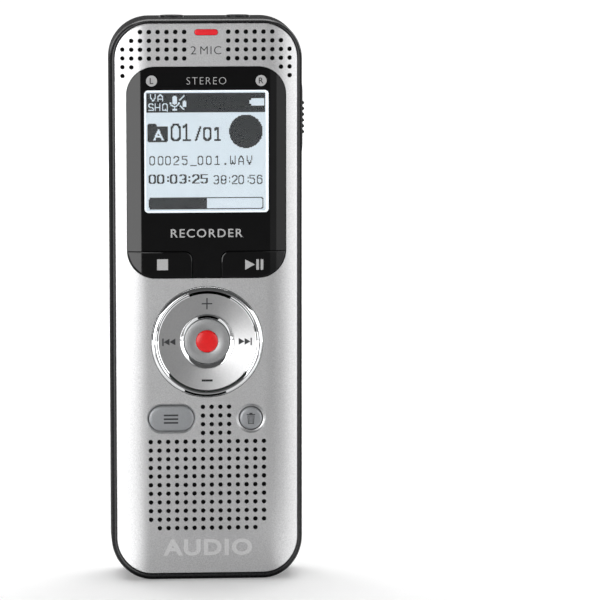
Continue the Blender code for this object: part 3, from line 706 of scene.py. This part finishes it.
GLYPHS = {
    "0": [(1.2, 0), (2.8, 0), (4, 1.4), (4, 6.6), (2.8, 8), (1.2, 8), (0, 6.6), (0, 1.4), (1.2, 0)],
    "1": [(0.5, 6.8), (2, 8), (2, 0), None, (0.3, 0), (3.7, 0)],
    "2": [(0, 6), (0, 7), (1, 8), (3, 8), (4, 7), (4, 5), (0, 1), (0, 0), (4, 0)],
    "3": [(0, 7), (1, 8), (3, 8), (4, 7), (4, 5), (3, 4), (2, 4), None, (3, 4), (4, 3), (4, 1), (3, 0), (1, 0),
        (0, 1)],
    "5": [(4, 8), (0, 8), (0, 5), (3, 5), (4, 4), (4, 1), (3, 0), (1, 0), (0, 1)],
    "6": [(4, 7), (3, 8), (1, 8), (0, 7), (0, 1), (1, 0), (3, 0), (4, 1), (4, 4), (3, 5), (0, 5)],
    "8": [(1, 4), (0, 5), (0, 7), (1, 8), (3, 8), (4, 7), (4, 5), (3, 4), (1, 4), (0, 3), (0, 1), (1, 0), (3, 0),
        (4, 1), (4, 3), (3, 4)],
    ":": [(0, 1.6), (0, 2.4), None, (0, 5.6), (0, 6.4)],
    ".": [(1.6, 0), (2.4, 0), None, (1.6, 0.8), (2.4, 0.8)],
    "_": [(0, -1), (4.6, -1)],
    "/": [(0, 0), (4, 8)],
    "A": [(0, 0), (0, 5), (2, 8), (4, 5), (4, 0), None, (0, 3), (4, 3)],
    "H": [(0, 0), (0, 8), None, (4, 0), (4, 8), None, (0, 4), (4, 4)],
    "Q": [(1, 0), (3, 0), (4, 1), (4, 7), (3, 8), (1, 8), (0, 7), (0, 1), (1, 0), None, (2, 2), (4.4, -0.6)],
    "S": [(4, 7), (3, 8), (1, 8), (0, 7), (0, 5), (1, 4), (3, 4), (4, 3), (4, 1), (3, 0), (1, 0), (0, 1)],
    "V": [(0, 8), (0, 5), (2, 0), (4, 5), (4, 8)],
    "W": [(0, 8), (0, 2), (0.9, 0), (2, 2), (3.1, 0), (4, 2), (4, 8), None, (2, 2), (2, 4)],
}


def display_contents():
    lcd = Dots()
    left, right = lcd.x0, lcd.x0 + LCD_SIDE
    lcd.stamp(rect_2d(left, right, 107.97, 112.35))
    lcd.write("VA", -12.85, 110.45, 6, 8, 8.2, value=False)
    lcd.write("SHQ", -13.3, 108.3, 6, 8, 7.5, value=False)
    lcd.stamp(join_2d(poly_2d(circle(0.55, -7.2, 111.25, 20)), rect_2d(-7.75, -6.65, 110.3, 111.25),
            poly_2d(circle(0.55, -7.2, 110.3, 20)), ring_2d(0.82, 1.12, -7.2, 110.3, 180, 360),
            rect_2d(-7.32, -7.08, 108.7, 109.3), rect_2d(-7.8, -6.6, 108.5, 108.8)), False)
    lcd.stamp(join_2d(bar_2d((-6.1, 110.7), (-4.9, 111.9), 0.3), bar_2d((-6.0, 109.6), (-5.0, 108.6), 0.3),
            poly_2d(circle(0.48, -4.95, 110.2, 16)), rect_2d(-5.4, -4.5, 109.3, 110.2)), False)
    lcd.stamp(join_2d(rect_2d(10.25, 13.15, 109.5, 111.1), rect_2d(9.75, 10.3, 109.9, 110.7)), False)
    folder = join_2d(poly_2d(rounded_rect(4.75, 3.45, 0.35, -11.05, 103.05, 4)),
            poly_2d(rounded_rect(2.2, 1.6, 0.3, -12.3, 104.55, 4)))
    lcd.stamp(folder)
    lcd.stamp(text_2d("A", 2.5, -10.9, 102.85, weight=0.02), False)
    lcd.write("01", -8.15, 101.4, 11, 19, 12.5, pen=2, deep=2)
    lcd.write("/", -2.6, 101.35, 7, 16, 10, pen=2)
    lcd.write("01", -0.7, 101.5, 9, 15, 11, pen=2, deep=2)
    lcd.stamp(poly_2d(circle(3.82, 9.0, 103.6, 60)))
    lcd.write("00025_001.WAV", -13.0, 95.95, 6, 10, 8.75)
    lcd.write("00:03:25", -13.15, 91.7, 8, 10, 9.1, pen=2)
    lcd.write("38:20:56", 1.6, 91.5, 6, 10, 7.75, colon=4)
    bar = rounded_rect(26.1, 2.8, 0.55, -0.05, 87.2, 5)
    hollow = rounded_rect(25.6, 2.3, 0.35, -0.05, 87.2, 5)
    lcd.stamp(poly_2d(bar))
    lcd.stamp(poly_2d(hollow), False)
    lcd.stamp(rect_2d(-12.9, 0.1, 86.05, 88.35))
    y = FRONT + 0.62
    verts, faces = lcd.mesh()
    on = piece("lcd_dots", [(x, y - 0.03, z) for x, _, z in verts], faces, LCD_ON, "body", fix=False, smooth=False)
    side, tall, inner = LCD_OPEN - 0.03, OPEN_H - 0.03, LCD_SIDE + 0.3
    rings = [flat_ring(rounded_rect(side, tall, 0.85, LCD_X, OPEN_Z, 6), v) for v in (y, y + 0.4)]
    piece("lcd_field", *loft_data(rings), LCD_BACK, "body")
    edge = [flat_ring(rounded_rect(w, h, r, x, OPEN_Z, 6), v)
            for w, h, r, x, v in ((side, tall, 0.85, LCD_X, y - 0.04), (inner, inner, 0.4, DOTS_X, y - 0.04),
            (inner, inner, 0.4, DOTS_X, y - 0.01), (side, tall, 0.85, LCD_X, y - 0.01))]
    piece("lcd_border", *loft_data(edge, loop=True), LCD_EDGE, "body")


# ---- navigation pad

PAD_R = (6.25, 11.12)
PAD_RIM_R = 11.33
PAD_TILT = math.tan(math.radians(9.0))
PAD_RIM_Y = FRONT - 0.08


def pad_at(x, z):
    """The y of the pad, a shallow cone that sinks towards the middle."""
    r = math.hypot(x - NAV[0], z - NAV[2])
    return PAD_RIM_Y + max(0.0, PAD_R[1] - r) * PAD_TILT


def nav():
    cx, cz = NAV[0], NAV[2]
    a, b = 11.52, 12.78
    crest = FRONT - 0.54
    ring = [(a, -8.0), (a, crest + 0.19), (a + 0.25, crest + 0.03), (a + 0.31, crest),
            (a + 0.47, crest), (a + 0.57, crest + 0.02)]
    ring += [(a + 0.57 + (b - 0.04 - a - 0.57) * t, crest + 0.02 + 0.5 * (0.7 * t + 0.3 * t * t))
            for t in (0.2, 0.4, 0.6, 0.8, 1.0)]
    ring += [(b, FRONT + 0.06), (b, -8.0)]
    skin("nav_trim", turned_data(ring, cx, cz, 128), CHROME, "body", "nav_outer_ring", 25)

    a, b = PAD_R
    top = [(a, pad_at(cx + a, cz) + 0.12)]
    top += [(a + (b - a) * k / 16, PAD_RIM_Y + (b - a) * (1 - k / 16) * PAD_TILT) for k in range(17)]
    top[1] = (a + 0.05, top[1][1])
    profile = [(a, -7.6)] + top + [(b, -8.4), (a + 0.8, -8.4), (a + 0.8, -7.6)]
    skin("nav_disc", turned_data(profile, cx, cz, 128), PAD_METAL, "pad", "nav_pad", 35)
    a, b = PAD_R[1] + 0.005, PAD_RIM_R
    rim = [(a, -8.4), (a, PAD_RIM_Y - 0.03), (b - 0.02, PAD_RIM_Y - 0.15), (b, PAD_RIM_Y - 0.13), (b, -8.4)]
    piece("nav_disc_rim", *turned_data(rim, cx, cz, 128), CHROME, "pad", sharp=15)

    a, b = 5.3, 6.2
    base = pad_at(cx + b, cz)
    ring = [(a, -8.3), (a, base + 0.22), (a + 0.03, base + 0.19), (b - 0.10, base - 0.22), (b - 0.05, base - 0.23),
            (b, base - 0.19), (b, -8.3)]
    skin("nav_inner_trim", turned_data(ring, cx, cz, 112), CHROME, "pad", "nav_inner_ring", 60)

    r = 5.17
    face = base + 0.02
    profile = [(0, face + 0.28), (2.6, face + 0.28), (2.62, face + 0.06), (2.74, face), (r - 0.14, face),
            (r - 0.05, face + 0.03), (r, face + 0.1), (r, -7.9), (1.5, -7.9), (1.5, -5.9), (0, -5.9)]
    skin("record_disc", turned_data(profile, cx, cz, 96), BUTTON_METAL, "record", "record_button", 35)
    cap = [(0, face - 0.30), (0.8, face - 0.29), (1.5, face - 0.25), (2.1, face - 0.17), (2.42, face - 0.07),
           (2.54, face + 0.04), (2.57, face + 0.25), (0, face + 0.25)]
    skin("record_dot", turned_data(cap, cx, cz, 72), RED_GLOSS, "record", "record_cap", 50)

    z = cz + 8.78
    plus = join_2d(rect_2d(cx - 1.2, cx + 1.2, z - 0.14, z + 0.14), rect_2d(cx - 0.14, cx + 0.14, z + 0.14, z + 1.33),
            rect_2d(cx - 0.14, cx + 0.14, z - 1.33, z - 0.14))
    sign("plus_sign", plus, pad_at, PRINT_DARK, "pad")
    z = cz - 8.97
    sign("minus_sign", rect_2d(cx - 1.25, cx + 1.25, z - 0.24, z + 0.24), pad_at, PRINT_BLACK, "pad")
    for side, name in ((-1, "back_sign"), (1, "forward_sign")):
        x = lambda v: cx + side * v
        arrows = [poly_2d([(x(7.25), cz - 0.78), (x(8.6), cz), (x(7.25), cz + 0.78)]),
                poly_2d([(x(8.6), cz - 0.78), (x(9.95), cz), (x(8.6), cz + 0.78)]),
                poly_2d([(x(9.95), cz - 0.86), (x(10.25), cz - 0.86), (x(10.25), cz + 0.86), (x(9.95), cz + 0.86)])]
        sign(name, join_2d(*arrows), pad_at, PRINT_DARK, "pad")


# ---- menu and delete buttons

def small_buttons():
    w, h = MENU_SIZE
    rings = [flat_ring(pill(w - 2 * d, h - 2 * d, MENU[0], MENU[2], 14), y) for d, y in (
            (0.0, KEY_FOOT), (0.0, FRONT + 0.42), (0.05, FRONT + 0.2), (0.16, FRONT + 0.06), (0.34, FRONT - 0.02),
            (0.7, FRONT - 0.06), (1.3, FRONT - 0.08))]
    skin("menu_cap", loft_data(rings), GREY_BUTTON, "menu", "menu_button", 50)
    surf = lambda x, z: FRONT - 0.08
    bars = [rect_2d(-9.99, -6.69, z - 0.2, z + 0.2) for z in (38.42, 37.54, 36.68)]
    sign("menu_sign", join_2d(*bars), surf, PRINT_DARK, "menu")

    r = DELETE_R
    profile = [(0, FRONT - 0.08), (r - 1.1, FRONT - 0.07), (r - 0.6, FRONT - 0.04), (r - 0.3, FRONT + 0.02),
            (r - 0.12, FRONT + 0.12), (r, FRONT + 0.35), (r, KEY_FOOT), (1.2, KEY_FOOT), (1.2, STEM_FOOT),
            (0, STEM_FOOT)]
    skin("delete_cap", turned_data(profile, DELETE[0], DELETE[2], 56), GREY_BUTTON, "delete", "delete_button", 40)
    x, z = DELETE[0], DELETE[2]
    can = [(x - 0.80, z + 0.62), (x - 0.66, z - 1.3), (x + 0.66, z - 1.3), (x + 0.80, z + 0.62)]
    inner = [(x - 0.60, z + 0.48), (x - 0.49, z - 1.14), (x + 0.49, z - 1.14), (x + 0.60, z + 0.48)]
    wall = [poly_2d([can[i], can[(i + 1) % 4], inner[(i + 1) % 4], inner[i]]) for i in range(4)]
    slats = [rect_2d(x + dx - 0.06, x + dx + 0.06, z - 1.05, z + 0.42) for dx in (-0.3, 0.0, 0.3)]
    lid = [rect_2d(x - 0.98, x + 0.98, z + 0.75, z + 0.98), rect_2d(x - 0.36, x + 0.36, z + 0.98, z + 1.28)]
    sign("delete_sign", join_2d(*wall, *slats, *lid), surf, PRINT_DARK, "delete")


# ---- body shells

SEAM_Y, GAP = 3.15, 0.3
TONGUE = 0.6  # how far in from the outline the lip starts that closes a seam to daylight
DOOR_TOP, DOOR_Y = 57.0, 5.2
SOCKETS, SOCKET_Y = (-7.55, 7.55), -0.6
SLIDER_Y, SLIDER_Z = -1.0, 106.1


def body_ring(inset, y=None, off=None, n=16):
    ring = rounded_rect(WIDTH - 2 * inset, HEIGHT - 2 * inset, CORNER - inset, 0, HEIGHT / 2, n)
    return [(x, front_at(x, z) + off if y is None else y, z) for x, z in ring]


def lip_ring(t, off=None, y=None, n=16):
    """Between the body's outline, t = 0, and the silver plate's, t = 1."""
    outer = rounded_rect(WIDTH, HEIGHT, CORNER, 0, HEIGHT / 2, n)
    inner = plate_outline(0.0, n)
    ring = [(a + (c - a) * t, b + (d - b) * t) for (a, b), (c, d) in zip(outer, inner)]
    return [(x, front_at(x, z) + off if y is None else y, z) for x, z in ring]


def pill_ring_x(w, h, x, n=12):
    return [(x, SLIDER_Y + a, SLIDER_Z + b) for a, b in pill(w, h, 0, 0, n)]


def frame_band():
    """The black frame between the silver plate and the back, with its sockets, slots and slider pocket."""
    rings = [lip_ring(t, off=o) for t, o in (
        (0.93, 1.5), (0.93, 0.34), (0.90, 0.25), (0.84, 0.18), (0.74, 0.14), (0.62, 0.14), (0.53, 0.17),
        (0.45, 0.23), (0.37, 0.31), (0.29, 0.41), (0.21, 0.53), (0.14, 0.67), (0.08, 0.84), (0.03, 1.08), (0.0, 1.4))]
    rings += [body_ring(0, y=SEAM_Y - 0.12), body_ring(0.12, y=SEAM_Y), body_ring(TONGUE, y=SEAM_Y),
            body_ring(TONGUE, y=SEAM_Y + GAP), body_ring(2.3, y=SEAM_Y + GAP), body_ring(2.3, off=1.6)]
    band = solid("frame_band", loft_data(rings, loop=True))
    cutters = [rod_z(3.2, x, SOCKET_Y, HEIGHT - 4, HEIGHT + 3) for x in SOCKETS]
    cutters += [block((-24, -18), (-3.75, -0.75), (91.0, 99.0)), block((-24, -18), (-3.7, -1.8), (69.4, 81.6)),
            solid("c", loft_data([pill_ring_x(5.5, 16.2, x) for x in (21.3, 24)])),
            block((18, 24), (SLIDER_Y - 1.35, SLIDER_Y + 1.35), (100.6, 111.6))]
    finish_solid(carve(band, "DIFFERENCE", *cutters), SATIN_BLACK, "body", "mid_frame")


def slider():
    rings = [pill_ring_x(w, h, x, 14) for x, w, h in ((21.4, 5.3, 15.95), (22.08, 5.3, 15.95), (22.18, 5.24, 15.89),
            (22.26, 5.1, 15.75), (22.3, 4.9, 15.55), (22.3, 4.2, 14.85), (22.18, 4.0, 14.65))]
    bezel = solid("switch_surround", loft_data(rings))
    hole = solid("c", loft_data([pill_ring_x(4.1, 13.4, x) for x in (21, 24)]))
    finish_solid(carve(bezel, "DIFFERENCE", hole), GLOSS_TRIM, "body", "slider_bezel")
    half = 1.55
    section = []
    z0, z1, teeth = SLIDER_Z - 4.0, SLIDER_Z + 4.0, 6
    step = (z1 - z0) / teeth
    for k in range(teeth):
        z = z0 + step * k
        section += [(z, 22.25), (z + 0.20 * step, 22.3), (z + 0.34 * step, 22.68), (z + 0.42 * step, 22.78),
                (z + 0.62 * step, 22.78), (z + 0.70 * step, 22.68), (z + 0.84 * step, 22.3)]
    section += [(z1, 22.25), (z1, 21.75), (z0, 21.75)]
    rings = [[(x - dip, SLIDER_Y + y, z) for z, x in section]
            for y, dip in ((-half, 0.25), (-half + 0.1, 0.08), (-half + 0.3, 0.0), (half - 0.3, 0.0),
            (half - 0.1, 0.08), (half, 0.25))]
    knob = solid("switch_knob", loft_data(rings))
    foot = block((20.2, 22.0), (SLIDER_Y - 1.05, SLIDER_Y + 1.05), (103.0, 109.2))
    finish_solid(carve(knob, "UNION", foot), SATIN_BLACK, "slider", "power_slider", 30)


def collars():
    for x, name in zip(SOCKETS, ("mic", "phones")):
        ring = upright_data([(1.8, 126.6), (1.8, HEIGHT - 0.1), (1.95, HEIGHT + 0.2), (2.15, HEIGHT + 0.3),
                (2.6, HEIGHT + 0.32), (2.85, HEIGHT + 0.25), (2.95, HEIGHT), (2.95, 126.6)], x, SOCKET_Y, 56)
        skin("collar_ring_" + name, ring, SATIN_BLACK, "body", "collar_" + name, 40)
        tube = upright_data([(1.55, 113.0), (1.55, 126.2), (1.78, 126.25), (1.78, 113.0)], x, SOCKET_Y, 40)
        piece("socket_sleeve_" + name, *tube, STEEL, "body")


def smooth_profile(points, steps=3):
    """Extra points between the given ones, on a Catmull-Rom curve."""
    out = []
    for k in range(len(points) - 1):
        p = [Vector(points[min(max(k + d, 0), len(points) - 1)]) for d in (-1, 0, 1, 2)]
        for s in range(steps):
            t = s / steps
            out.append(tuple(0.5 * (2 * p[1] + (p[2] - p[0]) * t + (2 * p[0] - 5 * p[1] + 4 * p[2] - p[3]) * t ** 2
                    + (3 * p[1] - p[0] - 3 * p[2] + p[3]) * t ** 3)))
    return out + [tuple(points[-1])]


def rear_slab(name):
    outer = [(0.12, SEAM_Y + GAP), (0.0, SEAM_Y + GAP + 0.12)]
    outer += smooth_profile([(0, 4.3), (0.25, 5.5), (0.9, 7.0), (1.9, 8.2), (3.3, 9.05), (4.8, 9.4), (6.2, 9.5)])
    inner = [(1.5, SEAM_Y + GAP - 0.5), (1.5, 4.3), (1.7, 5.3), (2.2, 6.4), (3.1, 7.3), (4.3, 7.9), (5.3, 8.1),
            (6.2, 8.2)]
    slab = solid(name, loft_data([body_ring(d, y=y) for d, y in outer]))
    return carve(slab, "DIFFERENCE", solid("c", loft_data([body_ring(d, y=y, n=6) for d, y in inner])))


def rear():
    shell = rear_slab("back_shell")
    deck = [flat_ring(rounded_rect(WIDTH - 2.0, HEIGHT - 2.0, CORNER - 1.0, 0, HEIGHT / 2, 6), y)
            for y in (SEAM_Y + GAP, 4.65)]
    deck = carve(solid("c", loft_data(deck)), "INTERSECT", block((-30, 30), (0, 10), (-5, 60.2)))
    carve(shell, "UNION", deck, block((-12.8, 12.8), (-3.5, 8.6), (2.7, 60.2)))
    carve(shell, "DIFFERENCE", block((-11.5, 11.5), (-2.6, 14), (3.9, DOOR_TOP + 0.4)),
          block((-30, 30), (DOOR_Y - GAP, 14), (-5, DOOR_TOP + 0.3)))
    rail = [body_ring(d, y=y) for d, y in ((2.6, 4.5), (TONGUE, 4.5), (TONGUE, DOOR_Y - 0.1), (2.0, DOOR_Y - 0.1),
            (2.0, 5.5), (2.6, 5.5))]
    rail = carve(solid("c", loft_data(rail, loop=True)), "INTERSECT", block((-30, 30), (0, 10), (-5, DOOR_TOP - 0.1)))
    carve(shell, "UNION", rail)
    for side, name in ((-1, "left"), (1, "right")):
        x, z = side * 14.5, 118.5
        bore = [(0, 10.0), (2.05, 10.0), (2.05, BACK + 0.01), (1.85, BACK - 0.16), (1.85, 8.75), (1.0, 8.75), (1.0, 4),
                (0, 4)]
        carve(shell, "DIFFERENCE", solid("c", turned_data(bore, x, z, 48)))
        head = [(0, 9.36), (0.6, 9.35), (1.1, 9.28), (1.4, 9.14), (1.5, 9.0), (1.5, 8.85), (0.8, 8.85), (0.8, 4.2),
                (0, 4.0)]
        screw = solid("screw_" + name, turned_data(head, x, z, 40))
        for w, h in ((0.34, 1.7), (1.7, 0.34)):
            carve(screw, "DIFFERENCE", block((x - w / 2, x + w / 2), (8.95, 10), (z - h / 2, z + h / 2)))
        finish_solid(screw, DARK_STEEL, "body", "back_screw_" + name)
    finish_solid(shell, TEXTURED_BLACK, "body", "rear_shell")

    door = rear_slab("cell_door")
    carve(door, "INTERSECT", block((-30, 30), (DOOR_Y, 12), (-5, DOOR_TOP)))
    for k in range(5):
        w, z = 14 - 1.6 * k, 50 - 1.7 * k
        groove = [flat_ring(pill(w - d, 0.7 - d, 0, z, 8), y) for d, y in ((0.3, BACK - 0.35), (0.12, BACK - 0.22),
                (0.0, BACK - 0.08), (-0.2, BACK + 0.12))]
        carve(door, "DIFFERENCE", solid("c", loft_data(groove)))
    finish_solid(door, TEXTURED_BLACK, "door", "battery_door")


def cell_bands():
    """A wide gold band round the upper end of each cell, and a thin one near its lower end."""
    for name in ("left", "right"):
        (x0, y0, z0), (x1, y1, z1) = box_mm("cell_" + name)
        x, y, r = (x0 + x1) / 2, (y0 + y1) / 2, (x1 - x0) / 2
        for piece_name, low, high in (("cell_band_", z1 - 11.5, z1 - 1.6), ("cell_line_", z0 + 2.0, z0 + 3.2)):
            profile = [(r - 0.1, low), (r + 0.02, low), (r + 0.02, high), (r - 0.1, high)]
            band = piece(piece_name + name, *upright_data(profile, x, y, 48), GOLD, "body")


def nodes_with(mat, *names):
    """Gives CAD nodes that keep their shape a finished material."""
    for name in names:
        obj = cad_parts[name]
        obj.data.materials.clear()
        obj.data.materials.append(mat)


def keep_nodes():
    nodes_with(STEEL, "usb_port", "card_slot", "speaker_frame", "speaker_magnet", "mic_left",
            "mic_right", "spring_left", "spring_right", "contact_plate_bottom", "contact_plate_left",
            "contact_plate_right", *[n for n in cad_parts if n.startswith("dome_")])
    nodes_with(CLOTH, "speaker_mesh", "mic_mesh_left", "mic_mesh_right", "speaker_cone")
    nodes_with(RUBBER, "mic_boot_left", "mic_boot_right", "button_mat", "nav_rocker")
    nodes_with(BOARD, "main_board")
    nodes_with(CHIP, "processor", "flash_memory", "socket_mic", "socket_phones", "switch_body")
    nodes_with(LIGHT_GUIDE, "lcd_backlight", "lcd_glass")
    nodes_with(FLEX, "lcd_flex")
    nodes_with(CELL_SLEEVE, "cell_left", "cell_right")


# ---- stage, lights and camera

# Upright panels: name, azimuth, distance, lowest and highest z, width, radiance
UPRIGHT_PANELS = (
    ("left_softbox", -40, 1000, -110, 560, 1150, 3.3),
    ("right_softbox", 64, 1000, -110, 560, 900, 2.0),
    ("right_fill_near", 17, 1050, -60, 560, 190, 0.2),
    ("right_fill_far", 31, 1050, -60, 560, 330, 0.8),
    ("back_left_softbox", 140, 1100, 150, 1300, 620, 1.4),
    ("back_right_softbox", -140, 1100, 150, 1300, 620, 1.4),
)
# Other panels: name, middle, direction it faces, width, height, radiance
OTHER_PANELS = (
    ("top_softbox", (0, 350, 1050), (0, -0.2, -1), 1100, 800, 4.5),
    ("bounce_left_near", (-78, -38, 1), (0, 0, 1), 116, 56, 0.75),
    ("bounce_right_near", (78, -38, 1), (0, 0, 1), 116, 56, 0.75),
    ("bounce_left_far", (-346, -110, 1), (0, 0, 1), 420, 170, 1.1),
    ("bounce_right_far", (346, -110, 1), (0, 0, 1), 420, 170, 0.9),
)
FLOOR_NEAR, FLOOR_FAR = 0.20, 1.0  # glow under the recorder and far from it
FLOOR_HALF, FLOOR_Z = 9000, -0.05
# Light from all round: height of the direction, -1 to 1, and level
FILL = ((-1.0, 0.0), (-0.8, 0.0), (-0.55, 0.35), (-0.3, 0.32), (-0.1, 0.13), (0.15, 0.08), (1.0, 0.08))


def stage():
    """A pale floor with a faint contact shadow, clear from below, and soft light from both sides and above."""
    mat = material("floor", (0.80, 0.80, 0.80), 0.0, 0.6, 0.01, 60, 0.0)
    nodes = mat.node_tree.nodes
    shader = principled(mat)
    shader.inputs["Emission Color"].default_value = (1, 1, 1, 1)
    where = add(nodes, "TexCoord")
    far = add(nodes, "VectorMath")
    far.operation = "LENGTH"
    glow = add(nodes, "MapRange", From_Min=0.08, From_Max=0.7, To_Min=FLOOR_NEAR, To_Max=FLOOR_FAR)
    wire(where, "Object", far, 0)
    wire(far, "Value", glow, "Value")
    wire(glow, "Result", shader, "Emission Strength")
    clear = add(nodes, "BsdfTransparent")
    side = add(nodes, "NewGeometry")
    both = add(nodes, "MixShader")
    wire(side, "Backfacing", both, 0)
    wire(shader, "BSDF", both, 1)
    wire(clear, "BSDF", both, 2)
    wire(both, "Shader", nodes["Material Output"], "Surface")
    verts = [(x * FLOOR_HALF, y * FLOOR_HALF, FLOOR_Z) for x, y in ((-1, -1), (1, -1), (1, 1), (-1, 1))]
    floor = piece("floor", verts, [(0, 1, 2, 3)], mat, None, fix=False)
    floor.visible_glossy = floor.visible_diffuse = False

    world = bpy.data.worlds.new("studio")
    world.use_nodes = True
    nodes = world.node_tree.nodes
    fill = nodes["Background"]
    fill.inputs["Strength"].default_value = 1.0
    coords = add(nodes, "TexCoord")
    split = add(nodes, "SeparateXYZ")
    ramp = add(nodes, "ValToRGB")
    wire(coords, "Generated", split, "Vector")
    rise = add(nodes, "MapRange", From_Min=-1.0, From_Max=1.0)
    wire(split, "Z", rise, "Value")
    wire(rise, "Result", ramp, "Fac")
    for _ in FILL[2:]:
        ramp.color_ramp.elements.new(0.5)
    for stop, (height, level) in zip(ramp.color_ramp.elements, FILL):
        stop.position, stop.color = (height + 1) / 2, (level, level, level, 1)
    wire(ramp, "Color", fill, "Color")
    white = add(nodes, "Background", Color=(1, 1, 1, 1), Strength=1.1)
    ray = add(nodes, "LightPath")
    pick = add(nodes, "MixShader")
    wire(ray, "Is Camera Ray", pick, 0)
    wire(fill, "Background", pick, 1)
    wire(white, "Background", pick, 2)
    wire(pick, "Shader", nodes["World Output"], "Surface")
    bpy.context.scene.world = world
    bpy.context.scene.view_settings.view_transform = "Standard"

    def lamp(name, place, facing, width, height, radiance):
        """A soft panel; radiance is what a mirror would show, 1 being white."""
        data = bpy.data.lights.new(name, "AREA")
        data.shape, data.size, data.size_y = "RECTANGLE", width * MM, height * MM
        data.energy = radiance * math.pi * width * height * MM * MM
        obj = placed(name, data)
        obj.location = Vector(place) * MM
        obj.rotation_mode = "QUATERNION"
        obj.rotation_quaternion = Vector(facing).to_track_quat("-Z", "Y")
        obj.visible_camera = False

    for name, azimuth, distance, z0, z1, width, radiance in UPRIGHT_PANELS:
        a = math.radians(azimuth)
        out = Vector((math.sin(a), -math.cos(a), 0))
        lamp(name, out * distance + Vector((0, 0, (z0 + z1) / 2)), -out, width, z1 - z0, radiance)
    for name, place, facing, width, height, radiance in OTHER_PANELS:
        lamp(name, place, facing, width, height, radiance)


# Camera, fitted to the photo's outline: azimuth, distance and height, then tilt, turn and lens
AZIMUTH, DISTANCE, EYE_Z = -2.5, 946.85, 189.04
TILT, TURN, LENS_MM = 7.5389, 1.3245, 248.2


def camera():
    data = bpy.data.cameras.new("camera")
    data.lens, data.sensor_width = LENS_MM, 36.0
    data.dof.use_dof = False
    data.clip_start, data.clip_end = 0.05, 20
    cam = placed("camera", data)
    azimuth, tilt, turn = (math.radians(a) for a in (AZIMUTH, TILT, TURN))
    cam.location = Vector((math.sin(azimuth) * DISTANCE, -math.cos(azimuth) * DISTANCE, EYE_Z)) * MM
    aim = Matrix.Rotation(azimuth - turn, 3, "Z") @ Vector((0, math.cos(tilt), -math.sin(tilt)))
    cam.rotation_mode = "QUATERNION"
    cam.rotation_quaternion = aim.to_track_quat("-Z", "Y")
    bpy.context.scene.camera = cam


front_plate()
dishes()
plate_signs()
light_pipe()
display_window()
keys()
window_signs()
display_contents()
nav()
small_buttons()
frame_band()
slider()
collars()
rear()
cell_bands()
keep_nodes()
stage()
camera()
